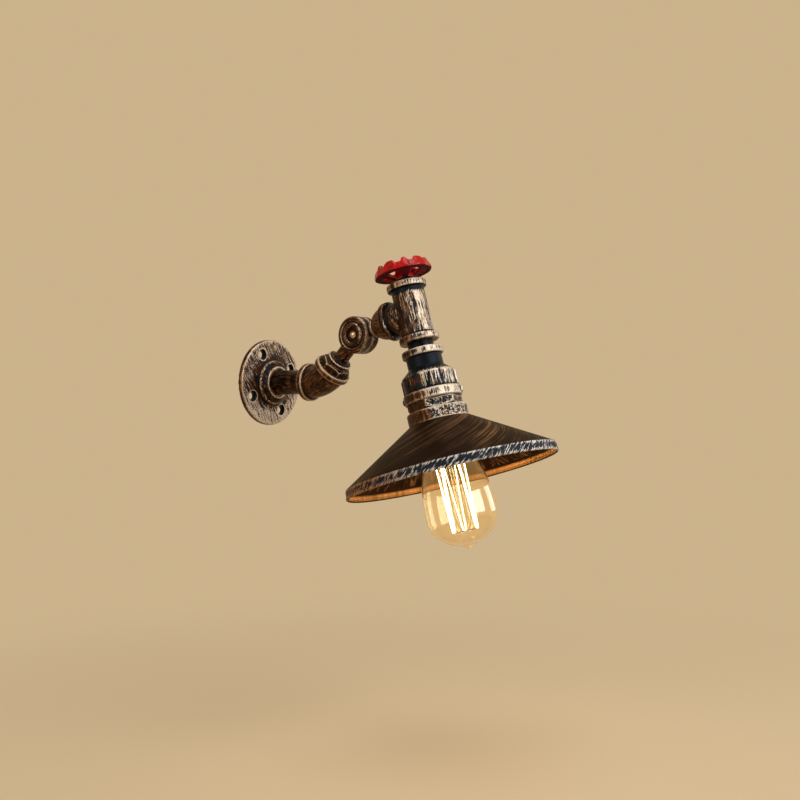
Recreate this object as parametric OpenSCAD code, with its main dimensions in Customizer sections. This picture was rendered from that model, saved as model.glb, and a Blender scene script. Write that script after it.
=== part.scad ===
// Wall lamp made of pipe fittings. A friction knuckle carries the head,
// which holds a cone shade, a long-filament bulb and a valve wheel that turns the switch.
// X runs across the wall, Z is up, and the lamp stands out from the wall along -Y.
// The origin is the centre of the flange's back face. Lengths are millimetres.

/* [Pipe and threads] */
// Outside diameter of the pipe
pipe_d = 21.3; // [19:0.1:25]
// Wall of the pipe
pipe_wall = 2.65; // [2:0.05:3.5]
// Radial clearance of screwed and pushed joints
thread_gap = 0.05; // [0.02:0.01:0.1]
// Radial clearance of turning fits
running_gap = 0.05; // [0.02:0.01:0.1]
// Wall of the band round a fitting's mouth
band_wall = 5.8; // [4:0.1:7]
// Width of the band round a fitting's mouth
band_w = 5.5; // [4:0.1:7]
// Rounding of a band's edges
band_round = 1.2; // [0.4:0.1:1.8]

/* [Wall flange] */
// Diameter of the flange
flange_d = 76; // [72:1:100]
// Thickness of the flange at its edge
flange_edge = 4.2; // [3:0.1:7]
// Rounding of the flange's front edge
flange_round = 1.6; // [0.5:0.1:2.5]
// Rise of the face from the edge to the hub
flange_rise = 1.4; // [0.2:0.1:3]
// Height of the hub above the wall
hub_h = 13.5; // [12:0.5:20]
// Wall of the hub
hub_wall = 3.9; // [3:0.1:5]
// Fillet between the face and the hub
hub_fillet = 4.2; // [2:0.1:5]
// Depth of the nipple's thread in the hub
hub_thread = 11; // [8:0.5:12]
// Diameter of the circle of screw holes
bolt_circle = 55; // [53:0.5:60]
// Diameter of a screw hole
bolt_hole_d = 7; // [4:0.1:8]
// Number of screw holes
bolt_count = 4; // [3:1:6]
// Turn of the first screw hole from the level line
bolt_turn = 26; // [0:1:90]

/* [Arm] */
// Distance from the wall to the elbow's bend
arm_reach = 64.3; // [50:0.1:90]
// Turn of the elbow
elbow_angle = 45; // [30:1:60]
// Length of each elbow leg from the bend to its mouth
elbow_leg = 17.3; // [16:0.1:24]
// Wall of the elbow between its bands
elbow_wall = 3.5; // [3:0.1:4.5]
// Distance from a screwed-in end to the elbow's mitre
elbow_core_gap = 1.9; // [1:0.1:4]
// Shoulder of a hexagon bush beyond the pipe
bush_shoulder = 1.35; // [1:0.05:3]
// Height of the elbow bush's hexagon
bush_hex_h = 5.3; // [3:0.1:8]

/* [Knuckle] */
// Diameter of the knuckle's round halves
knuckle_d = 31.6; // [28:0.2:36]
// Thickness of one half
knuckle_t = 8.8; // [6:0.1:10]
// Rounding of a half's outer edge
knuckle_round = 2.2; // [0.5:0.1:2.5]
// Running gap between a half's neck and the rim of the other half
knuckle_gap = 0.5; // [0.3:0.1:1]
// Diameter of the necks
neck_d = 13; // [10.4:0.2:14]
// Free length of the lower neck
base_neck = 12.7; // [9:0.1:20]
// Diameter of the lower neck's collar
base_collar_d = 22; // [18:0.2:24]
// Thickness of the lower neck's collar
base_collar_t = 4.6; // [3:0.1:7]
// Free length of the upper neck
arm_neck = 1.5; // [1:0.1:6]
// Diameter of the upper neck's collar
arm_collar_d = 15.2; // [14:0.2:18]
// Thickness of the upper neck's collar
arm_collar_t = 2.2; // [1.6:0.1:4]
// Rounding of the collars' edges
collar_round = 0.7; // [0.2:0.1:0.8]
// Diameter of the threaded stems
stem_d = 10; // [8:0.2:10.2]
// Length of the threaded stems
stem_len = 9; // [6:0.2:11]
// Diameter of the raised ring on each face, at its crest
face_ring_d = 16.6; // [15:0.2:18]
// Section diameter of the raised ring
face_ring_w = 4.4; // [3:0.1:5]
// Depth of the groove round the raised ring
face_groove = 0.9; // [0.3:0.1:1.2]
// Width of the groove round the raised ring
face_groove_w = 1.4; // [0.6:0.1:2]
// Depth of the screw's seat below the face
seat_depth = 2.6; // [2:0.1:3.6]
// Thickness of the friction washer
friction_t = 0.8; // [0.4:0.1:1.5]
// Diameter of the friction washer
friction_d = 28; // [20:0.5:28]
// Diameter of the pivot screw
pivot_d = 5; // [4:0.1:5.4]
// Diameter of the pivot screw's domed head
pivot_head_d = 7.8; // [6.4:0.1:9]
// Height of the pivot screw's domed head
pivot_head_h = 3.4; // [2.4:0.1:4]
// Thickness of the spring washer
spring_t = 0.8; // [0.5:0.1:1]
// Width across the flats of the pivot nut
pivot_nut_af = 8; // [7:0.1:9]
// Height of the pivot nut
pivot_nut_h = 2.7; // [2:0.1:3.5]

/* [Head] */
// Rise of the tee's branch above the level line
head_tilt = 16.5; // [0:0.5:60]
// Length of the branch bush's bell
bell_len = 14.05; // [12:0.05:20]
// Diameter of the bell at the knuckle
bell_small_d = 14.8; // [13.5:0.1:17]
// Diameter of the bell at the tee
bell_big_d = 28.4; // [26:0.1:30]
// Length of the tee's run from its middle to each mouth
tee_half = 25.4; // [24:0.1:32]
// Length of the tee's branch from the run's axis
tee_branch = 25.2; // [24:0.1:32]
// Wall of the tee between its bands
tee_wall = 2.9; // [2:0.1:3.5]
// Distance from a screwed-in end to the crossing bore
tee_core_gap = 3.2; // [2:0.1:5]

/* [Reducer and plug] */
// Length of nipple that shows below the tee
nipple_show = 6.2; // [3:0.1:12]
// Wall of the reducer's small band
small_band_wall = 6.4; // [4.6:0.1:7]
// Width of the reducer's small band
small_band_w = 6; // [4:0.1:8]
// Wall of the reducer's neck
reducer_neck_wall = 4; // [3:0.1:4.4]
// Length of the reducer's neck
reducer_neck = 9.6; // [7:0.1:14]
// Length of the reducer's flare
reducer_flare = 6; // [5:0.1:10]
// Length of the reducer's wide body
reducer_body = 13.7; // [10:0.1:18]
// Wall of the reducer's wide body
reducer_wall = 5.1; // [4:0.05:5.5]
// Width of the reducer's wide band
wide_band_w = 8; // [6:0.1:11]
// Wall of the reducer's wide band
wide_band_wall = 7.3; // [5.8:0.1:8]
// Angle that each of the two ribs on the reducer takes up
rib_angle = 14; // [8:1:24]
// Rise of the ribs above the reducer's wide body
rib_rise = 1.2; // [0.6:0.1:1.6]
// Rise of the lugs in line with the ribs above the reducer's wide band
lug_rise = 1.2; // [0.6:0.1:2]
// Turn of the ribs about the run
rib_turn = 65; // [0:1:180]
// Diameter of the plug's thread
plug_d = 33.2; // [31:0.1:36]
// Length of the plug's thread
plug_thread = 12; // [9:0.1:16]
// Wall of the plug's hollow thread
plug_wall = 4; // [3:0.1:6]
// Shoulder of the plug's hexagon beyond its thread
plug_shoulder = 3.2; // [2:0.1:4]
// Height of the plug's hexagon
plug_hex_h = 7.3; // [5:0.1:10]
// Turn of the plug's hexagon about the run
plug_turn = -15; // [-30:1:30]
// Diameter of the threaded rod
rod_d = 10; // [9:0.1:10.4]
// Wall of the threaded rod
rod_wall = 1.5; // [1:0.1:2]
// Width across the flats of the rod's nut
rod_nut_af = 14; // [13:0.1:17]
// Height of the rod's nut
rod_nut_h = 4; // [2.5:0.1:6]

/* [Shade] */
// Height of the collar above the shade
collar_h = 10.2; // [7:0.1:13]
// Wall of the collar
collar_wall = 4.1; // [3:0.1:6]
// Thickness of the collar's top
collar_top = 2.2; // [1.5:0.1:4]
// Rounding of the collar's outer edges
collar_edge = 1.6; // [0.4:0.1:2]
// Diameter of the shade at its lip
shade_d = 172.6; // [140:1:200]
// Height of the shade's cone
shade_cone_h = 38.1; // [25:0.5:60]
// Height of the shade's lip
shade_lip_h = 7.7; // [5:0.1:12]
// Thickness of the shade's sheet
shade_t = 1; // [0.6:0.1:1.6]
// Radius of the bend between cone and lip
shade_bend_r = 3; // [2:0.1:5]
// Section diameter of the rolled edge
shade_roll_d = 2.6; // [2:0.1:4]
// Step from the collar to the start of the cone
shade_step = 0.3; // [0.1:0.1:3]
// Gap round the lampholder in the shade's hole
shade_hole_gap = 0.4; // [0.2:0.1:1]
// Wall of the ring nut that clamps the shade
ring_wall = 3.6; // [2.5:0.1:5]
// Height of the ring nut that clamps the shade
ring_h = 6; // [4:0.1:9]

/* [Lampholder] */
// Wall of the lampholder's body
holder_wall = 5.5; // [4:0.1:8]
// Length of the lampholder's body
holder_len = 23.6; // [20:0.1:26]
// Thickness of the lampholder's floor
holder_floor = 3; // [2:0.1:5]
// Floor left between the rod's end and the centre contact
floor_skin = 1.2; // [0.8:0.1:1.8]
// Gap between the lampholder and the collar
holder_gap = 1.2; // [0.5:0.1:2]
// Thickness of the screw shell's brass
shell_t = 0.5; // [0.3:0.05:0.8]
// Radial gap between the screw shell and the bulb's cap
shell_gap = 0.25; // [0.1:0.05:0.5]
// Length of the screw shell
shell_len = 17; // [14:0.1:18]
// Thickness of the centre contact
contact_t = 1.6; // [1:0.1:2.5]
// Diameter of the centre contact
contact_d = 8; // [6:0.1:10]

/* [Bulb] */
// Diameter of the bulb's screw cap
cap_d = 26.2; // [25:0.1:27]
// Length of the bulb's screw cap
cap_len = 19.5; // [18:0.1:24]
// Thickness of the cap's metal
cap_t = 0.4; // [0.3:0.05:0.6]
// Height of the insulator at the cap's end
insulator_h = 2.6; // [1.5:0.1:4]
// Height of the cap's end contact
cap_contact_h = 0.9; // [0.5:0.1:1.5]
// Diameter of the cap's end contact
cap_contact_d = 9; // [6:0.1:11]
// Diameter of the glass at its widest
bulb_d = 58.5; // [50:0.5:66]
// Distance from the cap to the widest part of the glass
bulb_shoulder = 56.6; // [48:0.2:75]
// Height of the round end below the widest part
bulb_end = 25.4; // [20:0.2:32]
// Length of glass inside the cap
glass_in_cap = 2.5; // [1.5:0.1:4]
// Wall of the glass
glass_wall = 0.8; // [0.5:0.1:1.2]
// Diameter of the sealed tip
tip_d = 7.2; // [5:0.1:9]
// Height of the sealed tip below the round end
tip_h = 2.9; // [2:0.1:4]
// Diameter of the stem's flare base
stem_tube_d = 8; // [7:0.1:11]
// Length of the glass stem below the cap
stem_tube_len = 7; // [5:0.2:16]
// Diameter of the glass arbor that carries the supports
arbor_d = 3; // [2.4:0.1:4]
// Distance from the cap to the upper supports
cage_top = 12; // [11.5:0.5:28]
// Distance from the cap to the lower supports
cage_end = 70; // [55:0.5:72]
// Radius of the filament cage at its top
cage_top_r = 11.6; // [8:0.2:13]
// Radius of the filament cage at its end
cage_end_r = 11; // [6:0.2:12]
// Number of hairpins in the filament
hairpins = 6; // [4:1:8]
// Turn of a hairpin's sides from its support
hairpin_spread = 6; // [4:0.5:8]
// Height of a hairpin's round end
hairpin_rise = 0.9; // [0.6:0.1:2]
// Diameter of the filament strand
filament_d = 0.7; // [0.5:0.05:1]
// Diameter of a support wire
support_d = 0.8; // [0.5:0.05:1.2]

/* [Valve wheel] */
// Height of the bonnet's hexagon
bonnet_hex_h = 2.6; // [2:0.1:5]
// Gap between the bonnet and the wheel's hub
hub_gap = 0.4; // [0.3:0.1:1]
// Diameter of the spindle
spindle_d = 6; // [5:0.1:7]
// Diameter of the spindle's retaining shoulder
spindle_shoulder_d = 10; // [8.4:0.1:12]
// Thickness of the spindle's retaining shoulder
spindle_shoulder_t = 2.8; // [2:0.1:4]
// Diameter of the spindle's threaded end
spindle_end_d = 4; // [3:0.1:4.6]
// Depth of the spindle in the switch
spindle_in_switch = 4; // [3:0.1:6]
// Diameter of the switch body
switch_d = 14.6; // [12:0.1:15]
// Length of the switch body
switch_len = 12; // [9:0.1:16]
// Diameter of the wheel at the rim's lower edge
wheel_d = 48.4; // [44:0.2:54]
// Number of lobes, with a knob between each two
lobe_count = 5; // [4:1:6]
// Diameter of a lobe's round face
lobe_d = 11.6; // [9:0.2:12.4]
// Diameter of the dimple in a lobe's face
dimple_d = 2.6; // [1:0.1:4]
// Depth of the dimple in a lobe's face
dimple_depth = 0.6; // [0.3:0.1:1]
// Diameter of a knob
knob_d = 4.8; // [4:0.2:6]
// Height of the rim at its lobes and knobs
rim_h = 9.6; // [7:0.1:11]
// Drop of the rim's crest between lobes and knobs
rim_wave = 3.2; // [1:0.1:3.4]
// Inward lean of the rim's wall
rim_lean = 24; // [10:1:30]
// Step from the rim's wall out to the knobs
knob_step = 0.6; // [0.3:0.1:1.2]
// Step from the rim's wall out to the lobes' faces
lobe_step = 0.4; // [0.3:0.1:1]
// Rise of the lobes' and knobs' feet above the rim's edge
foot_rise = 1.2; // [0.6:0.1:2]
// Rounding of the rim's edges
rim_round = 1.2; // [0.6:0.1:1.5]
// Wall of the rim between lobes and knobs
rim_wall = 3.2; // [2.4:0.1:4]
// Depth of the dish from the rim to the hub
dish_depth = 4.6; // [2:0.1:6]
// Thickness of the dished web
web_t = 2.6; // [2:0.1:4]
// Diameter of the hub
wheel_hub_d = 13; // [11:0.2:15]
// Height of the hub
wheel_hub_h = 9.6; // [8:0.1:13]
// Angle of a window in the web
window_angle = 42; // [20:1:50]
// Web left between a window and the hub, and between a window and the rim
window_margin = 1.6; // [1:0.1:2.5]
// Turn of the first lobe at rest
wheel_turn = 42.5; // [0:0.5:72]
// Width across the flats of the wheel nut
wheel_nut_af = 7; // [6:0.1:9]
// Height of the wheel nut's hexagon
wheel_nut_h = 3; // [2:0.1:5]
// Diameter of the wheel nut's dome
wheel_dome_d = 5.6; // [5.2:0.1:7]
// Height of the wheel nut's dome
wheel_dome_h = 4.4; // [3.4:0.1:6]

/* [Hidden] */

$fn = 96;
cut = 1;
arc_steps = 6;
rim_steps = 2;
hex_bevel = 0.2;
hex_bevel_angle = 30;
tip_room = 0.1;

bronze = [0.36, 0.25, 0.16];
pale_bronze = [0.62, 0.54, 0.42];
dark_bronze = [0.22, 0.17, 0.13];
steel = [0.7, 0.7, 0.72];
brass = [0.78, 0.62, 0.3];
red = [0.72, 0.06, 0.07];
black = [0.1, 0.1, 0.1];
fibre = [0.45, 0.25, 0.15];
porcelain = [0.92, 0.9, 0.86];
clear_glass = [0.95, 0.85, 0.62, 0.35];
glow = [1, 0.75, 0.3];

pipe_r = pipe_d / 2;
pipe_bore_r = pipe_r - pipe_wall;
socket_r = pipe_r + thread_gap;
band_r = socket_r + band_wall;
bush_af = pipe_d + 2 * bush_shoulder;

flange_r = flange_d / 2;
flange_face = flange_edge + flange_rise;
hub_r = socket_r + hub_wall;
hub_base_r = hub_r + hub_fillet;
nipple_start = hub_h - hub_thread;

elbow_r = socket_r + elbow_wall;
elbow_tangent = elbow_leg - band_w / 2;
elbow_bend_r = elbow_tangent / tan(elbow_angle / 2);
elbow_thread = elbow_leg - pipe_r * tan(elbow_angle / 2) - elbow_core_gap;
nipple_end = arm_reach - elbow_leg + elbow_thread;

knuckle_r = knuckle_d / 2;
neck_r = neck_d / 2;
stem_r = stem_d / 2;
pivot_r = pivot_d / 2;
face_ring_r = face_ring_d / 2;
face_ring_section = face_ring_w / 2;
face_floor = knuckle_t - face_groove;
seat_r = face_ring_r - face_ring_section;
seat_h = knuckle_t - seat_depth;
base_neck_end = knuckle_r + base_neck;
base_collar_end = base_neck_end + base_collar_t;
arm_neck_end = knuckle_r + arm_neck;
arm_collar_end = arm_neck_end + arm_collar_t;
pivot_reach = elbow_leg + bush_hex_h + base_collar_end;
tee_reach = arm_collar_end + bell_len + tee_branch;
neck_root = knuckle_r - 2 * knuckle_round;

tee_r = socket_r + tee_wall;
tee_thread = tee_half - pipe_r - tee_core_gap;
branch_thread = tee_branch - pipe_r - tee_core_gap;
bell_rise = (bell_big_d - bell_small_d) / 2;
bell_arc_r = (bell_len * bell_len + bell_rise * bell_rise) / (2 * bell_rise);

plug_r = plug_d / 2;
plug_socket_r = plug_r + thread_gap;
plug_bore_r = plug_r - plug_wall;
plug_af = plug_d + 2 * plug_shoulder;
small_band_r = socket_r + small_band_wall;
reducer_neck_r = socket_r + reducer_neck_wall;
reducer_r = plug_socket_r + reducer_wall;
wide_band_r = plug_socket_r + wide_band_wall;
reducer_top = tee_half + nipple_show;
neck_top = reducer_top + small_band_w;
flare_top = neck_top + reducer_neck;
body_top = flare_top + reducer_flare;
wide_band_top = body_top + reducer_body;
reducer_end = wide_band_top + wide_band_w;
plug_end = reducer_end + plug_hex_h;
rod_r = rod_d / 2;
rod_hole_r = rod_r + thread_gap;
rod_bore_r = rod_r - rod_wall;
rod_start = reducer_end - 2 * rod_nut_h;

cap_r = cap_d / 2;
shell_bore_r = cap_r + shell_gap;
shell_r = shell_bore_r + shell_t;
holder_bore_r = shell_r + thread_gap;
holder_r = holder_bore_r + holder_wall;
collar_bore_r = holder_r + holder_gap;
collar_r = collar_bore_r + collar_wall;
holder_start = plug_end + collar_top;
holder_floor_end = holder_start + holder_floor;
rod_end = holder_floor_end - floor_skin;
holder_end = holder_start + holder_len;
shade_top = plug_end + collar_h;

shade_r = shade_d / 2;
shade_hole_r = holder_r + shade_hole_gap;
shade_top_r = collar_r + shade_step;
shade_bend = shade_top + shade_cone_h;
shade_rim = shade_bend + shade_lip_h;
shade_slope = atan2(shade_cone_h, shade_r - shade_top_r);
shade_bend_centre = [shade_r - shade_bend_r, shade_bend + shade_bend_r * tan(45 - shade_slope / 2)];

contact_end = holder_floor_end + contact_t;
insulator_start = contact_end + cap_contact_h;
cap_start = insulator_start + insulator_h;
cap_end = cap_start + cap_len;
bulb_r = bulb_d / 2;
glass_neck_r = cap_r - cap_t - thread_gap;
glass_start = cap_end - glass_in_cap;
bulb_widest = cap_end + bulb_shoulder;
bulb_bottom = bulb_widest + bulb_end;
stem_flare_r = glass_neck_r - glass_wall - thread_gap;
arbor_r = arbor_d / 2;
cage_top_z = cap_end + cage_top;
cage_end_z = cap_end + cage_end;
support_reach_gap = 0.1;
filament_r = filament_d / 2;
filament_sides = 6;
last_bend = 2 * hairpins - 2;

spindle_r = spindle_d / 2;
spindle_hole_r = spindle_r + running_gap;
spindle_end_r = spindle_end_d / 2;
bonnet_end = tee_half + bonnet_hex_h;
bonnet_start = tee_half - tee_thread;
wheel_hub_start = bonnet_end + hub_gap;
wheel_hub_end = wheel_hub_start + wheel_hub_h;
rim_start = wheel_hub_start + dish_depth;
wheel_hub_r = wheel_hub_d / 2;
lobe_r = lobe_d / 2;
knob_r = knob_d / 2;
lobe_share = 360 / lobe_count;
knob_turn = lobe_share / 2;
rim_r = wheel_d / 2;
rim_pitch = tan(rim_lean);
rim_slant_h = rim_h / cos(rim_lean);
rim_bore_r = rim_r - rim_wall / cos(rim_lean);
rim_low_h = rim_h - rim_wave;
web_r = rim_bore_r + rim_wall / 4;
spindle_tip_end = wheel_hub_end + wheel_nut_h + wheel_dome_h / 2;

// Points on an arc about a centre, in degrees
function arc(centre, r, from, to, steps = arc_steps) = [
    for (i = [0 : steps])
        let (angle = from + (to - from) * i / steps)
            centre + r * [cos(angle), sin(angle)]
];

// Solid of revolution about Z from [radius, height] points
module revolve(points) {
    rotate_extrude() polygon(points);
}

// Round disc with rounded outer edges
module bead(r, w, edge, steps = arc_steps) {
    revolve(concat(
        [[0, 0]],
        arc([r - edge, edge], edge, -90, 0, steps),
        arc([r - edge, w - edge], edge, 0, 90, steps),
        [[0, w]]
    ));
}

// Plain tube along Z
module tube(r, bore_r, from, to) {
    translate([0, 0, from]) difference() {
        cylinder(r = r, h = to - from);
        translate([0, 0, -cut]) cylinder(r = bore_r, h = to - from + 2 * cut);
    }
}

// Hexagon with bevelled corners on its far end
module hexagon(af, h) {
    corner_r = af / 2 / cos(30);
    reach_r = corner_r + cut;
    bevel_r = af / 2 - hex_bevel;
    bevel_h = (reach_r - bevel_r) * tan(hex_bevel_angle);
    intersection() {
        cylinder(r = corner_r, h = h, $fn = 6);
        revolve([[0, 0], [reach_r, 0], [reach_r, h - bevel_h], [bevel_r, h], [0, h]]);
    }
}

// Z outwards from the wall, Y up
module out_of_wall() {
    rotate([90, 0, 0]) children();
}

// Z along the elbow's upper leg, from the bend
module along_leg() {
    out_of_wall() translate([0, 0, arm_reach]) rotate([-elbow_angle, 0, 0]) children();
}

// Z along the leg, from the knuckle's pivot
module at_pivot() {
    along_leg() translate([0, 0, pivot_reach]) children();
}

// Z along the tee's branch, from the knuckle's pivot
module along_branch() {
    at_pivot() rotate([elbow_angle - head_tilt, 0, 0]) children();
}

// Z down the tee's run from its middle, Y away from the knuckle
module down_run() {
    along_branch() translate([0, 0, tee_reach]) rotate([90, 0, 0]) children();
}

// Z up the tee's run from its middle
module up_run() {
    down_run() rotate([180, 0, 0]) children();
}

module wall_flange() {
    profile = concat(
        [[socket_r, 0], [flange_r, 0]],
        arc([flange_r - flange_round, flange_edge - flange_round], flange_round, 0, 90),
        arc([hub_base_r, flange_face + hub_fillet], hub_fillet, 270, 180),
        arc([hub_r - band_round, hub_h - band_round], band_round, 0, 90),
        [[socket_r, hub_h]]
    );
    color(pale_bronze) out_of_wall() difference() {
        revolve(profile);
        for (i = [0 : bolt_count - 1])
            rotate(bolt_turn + i * 360 / bolt_count) translate([bolt_circle / 2, 0, -cut])
                cylinder(d = bolt_hole_d, h = hub_h + cut);
    }
}

module wall_nipple() {
    color(bronze) out_of_wall() tube(pipe_r, pipe_bore_r, nipple_start, nipple_end);
}

// Bent rod of the elbow's course, from the middle of one band to the middle of the other
module elbow_course(r) {
    translate([0, elbow_bend_r, -elbow_tangent]) rotate([90, 0, -90])
        rotate_extrude(angle = elbow_angle) translate([elbow_bend_r, 0]) circle(r = r);
}

module elbow() {
    color(bronze) out_of_wall() translate([0, 0, arm_reach]) difference() {
        union() {
            elbow_course(elbow_r);
            translate([0, 0, -elbow_leg]) bead(band_r, band_w, band_round);
            rotate([-elbow_angle, 0, 0]) translate([0, 0, elbow_leg - band_w])
                bead(band_r, band_w, band_round);
        }
        elbow_course(pipe_bore_r);
        translate([0, 0, -elbow_leg - cut]) cylinder(r = socket_r, h = elbow_thread + cut);
        rotate([-elbow_angle, 0, 0]) translate([0, 0, elbow_leg - elbow_thread])
            cylinder(r = socket_r, h = elbow_thread + cut);
    }
}

module elbow_bush() {
    color(bronze) along_leg() translate([0, 0, elbow_leg]) difference() {
        union() {
            hexagon(bush_af, bush_hex_h);
            translate([0, 0, -elbow_thread]) cylinder(r = pipe_r, h = elbow_thread + bush_hex_h / 2);
        }
        translate([0, 0, -elbow_thread - cut])
            cylinder(r = stem_r + thread_gap, h = elbow_thread + bush_hex_h + 2 * cut);
    }
}

// One round half of the knuckle, with its flat side on Z = 0 and its ringed face up
module knuckle_disc() {
    profile = concat(
        [[pivot_r + running_gap, 0], [knuckle_r, 0]],
        arc([knuckle_r - knuckle_round, knuckle_t - knuckle_round], knuckle_round, 0, 90),
        [[face_ring_r + face_ring_section + face_groove_w, knuckle_t]],
        [[face_ring_r + face_ring_section + face_groove_w / 2, face_floor]],
        arc([face_ring_r, face_floor], face_ring_section, 0, 180, 2 * arc_steps),
        [[seat_r, seat_h], [pivot_r + running_gap, seat_h]]
    );
    revolve(profile);
}

// Neck, collar and threaded stem along Z, measured from the pivot
module knuckle_neck(neck_end, collar_r, collar_end) {
    flare = min(collar_r - neck_r - collar_round, neck_end - knuckle_r);
    profile = concat(
        [[0, neck_root], [neck_r, neck_root]],
        arc([neck_r + flare, neck_end - flare], flare, 180, 90),
        arc([collar_r - collar_round, neck_end + collar_round], collar_round, -90, 0),
        arc([collar_r - collar_round, collar_end - collar_round], collar_round, 0, 90),
        [[stem_r, collar_end], [stem_r, collar_end + stem_len], [0, collar_end + stem_len]]
    );
    revolve(profile);
}

// Half knuckle on the -X side of the pivot, with its stem along +Z
module knuckle_half(neck_end, collar_r, collar_end) {
    translate([-friction_t / 2, 0, 0]) rotate([0, -90, 0]) knuckle_disc();
    difference() {
        knuckle_neck(neck_end, collar_r, collar_end);
        translate([-friction_t / 2, 0, 0]) rotate([0, 90, 0])
            cylinder(r = knuckle_r + knuckle_gap, h = knuckle_t + friction_t);
    }
}

module knuckle_base() {
    color(bronze) at_pivot() rotate([180, 0, 0])
        knuckle_half(base_neck_end, base_collar_d / 2, base_collar_end);
}

module knuckle_arm() {
    color(bronze) along_branch() rotate([0, 0, 180])
        knuckle_half(arm_neck_end, arm_collar_d / 2, arm_collar_end);
}

// Children along +Z, which points from the pivot plane towards the screw's head
module along_pivot() {
    at_pivot() rotate([0, -90, 0]) children();
}

module pivot_screw() {
    seat = friction_t / 2 + seat_h;
    head_r = pivot_head_d / 2;
    dome_r = (head_r * head_r + pivot_head_h * pivot_head_h) / (2 * pivot_head_h);
    dome_angle = asin(head_r / dome_r);
    shank_end = -seat - spring_t - pivot_nut_h;
    color(pale_bronze) along_pivot() revolve(concat(
        [[0, shank_end], [pivot_r, shank_end], [pivot_r, seat]],
        arc([0, seat + pivot_head_h - dome_r], dome_r, 90 - dome_angle, 90)
    ));
}

module friction_washer() {
    color(fibre) along_pivot() tube(friction_d / 2, pivot_r + running_gap, -friction_t / 2, friction_t / 2);
}

module spring_washer() {
    seat = friction_t / 2 + seat_h;
    color(steel) along_pivot() tube(pivot_nut_af / 2, pivot_r + running_gap, -seat - spring_t, -seat);
}

module pivot_nut() {
    seat = friction_t / 2 + seat_h + spring_t;
    color(pale_bronze) along_pivot() rotate([180, 0, 0]) translate([0, 0, seat]) difference() {
        hexagon(pivot_nut_af, pivot_nut_h);
        translate([0, 0, -cut]) cylinder(r = pivot_r + thread_gap, h = pivot_nut_h + 2 * cut);
    }
}

module branch_bush() {
    bore_r = stem_r + thread_gap;
    bell_angle = asin(bell_len / bell_arc_r);
    spigot_end = bell_len + branch_thread;
    color(bronze) along_branch() translate([0, 0, arm_collar_end]) revolve(concat(
        [[bore_r, 0]],
        arc([bell_big_d / 2 - bell_arc_r, bell_len], bell_arc_r, -bell_angle, 0),
        [[pipe_r, bell_len], [pipe_r, spigot_end], [bore_r, spigot_end]]
    ));
}

module tee() {
    color(bronze) down_run() difference() {
        union() {
            translate([0, 0, -tee_half + band_w / 2]) cylinder(r = tee_r, h = 2 * tee_half - band_w);
            translate([0, 0, -tee_half]) bead(band_r, band_w, band_round);
            translate([0, 0, tee_half - band_w]) bead(band_r, band_w, band_round);
            rotate([90, 0, 0]) cylinder(r = tee_r, h = tee_branch - band_w / 2);
            rotate([90, 0, 0]) translate([0, 0, tee_branch - band_w]) bead(band_r, band_w, band_round);
        }
        translate([0, 0, -tee_half - cut]) cylinder(r = pipe_bore_r, h = 2 * (tee_half + cut));
        translate([0, 0, -tee_half - cut]) cylinder(r = socket_r, h = tee_thread + cut);
        translate([0, 0, tee_half - tee_thread]) cylinder(r = socket_r, h = tee_thread + cut);
        rotate([90, 0, 0]) cylinder(r = pipe_bore_r, h = tee_branch + cut);
        rotate([90, 0, 0]) translate([0, 0, tee_branch - branch_thread])
            cylinder(r = socket_r, h = branch_thread + cut);
    }
}

module tee_nipple() {
    color(dark_bronze) down_run()
        tube(pipe_r, pipe_bore_r, tee_half - tee_thread, reducer_top + tee_thread);
}

module reducer() {
    flare_mid = (flare_top + body_top) / 2;
    outside = concat(
        arc([small_band_r - band_round, reducer_top + band_round], band_round, -90, 0),
        arc([small_band_r - band_round, neck_top - band_round], band_round, 0, 90),
        [[reducer_neck_r, neck_top], [reducer_neck_r, flare_top]],
        [[(reducer_neck_r + reducer_r) / 2, flare_mid], [reducer_r, body_top], [reducer_r, wide_band_top]],
        arc([wide_band_r - band_round, wide_band_top + band_round], band_round, -90, 0),
        arc([wide_band_r - band_round, reducer_end - band_round], band_round, 0, 90)
    );
    inside = [
        [plug_socket_r, reducer_end], [plug_socket_r, reducer_end - plug_thread],
        [pipe_bore_r, flare_top], [pipe_bore_r, reducer_top + tee_thread],
        [socket_r, reducer_top + tee_thread], [socket_r, reducer_top]
    ];
    rib_root_r = reducer_r - 2 * rib_rise;
    rib_crest_r = reducer_r + rib_rise;
    lug_r = wide_band_r + lug_rise;
    lug_start = wide_band_top + wide_band_w / 4;
    lug_end = reducer_end - wide_band_w / 4;
    rib = [
        [rib_root_r, body_top - rib_rise], [rib_crest_r, body_top + rib_rise],
        [rib_crest_r, lug_start], [lug_r, lug_start], [lug_r, lug_end], [rib_root_r, lug_end]
    ];
    color(dark_bronze) down_run() {
        revolve(concat(outside, inside));
        for (side = [0, 180])
            rotate(rib_turn + side - rib_angle / 2) rotate_extrude(angle = rib_angle) polygon(rib);
    }
}

module hex_plug() {
    color(pale_bronze) down_run() difference() {
        union() {
            translate([0, 0, reducer_end]) rotate(plug_turn) hexagon(plug_af, plug_hex_h);
            translate([0, 0, reducer_end - plug_thread])
                cylinder(r = plug_r, h = plug_thread + plug_hex_h / 2);
        }
        translate([0, 0, reducer_end - plug_thread - cut])
            cylinder(r = plug_bore_r, h = plug_thread + cut);
        translate([0, 0, reducer_end - cut]) cylinder(r = rod_hole_r, h = plug_hex_h + 2 * cut);
    }
}

module lamp_rod() {
    color(steel) down_run() tube(rod_r, rod_bore_r, rod_start, rod_end);
}

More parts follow.
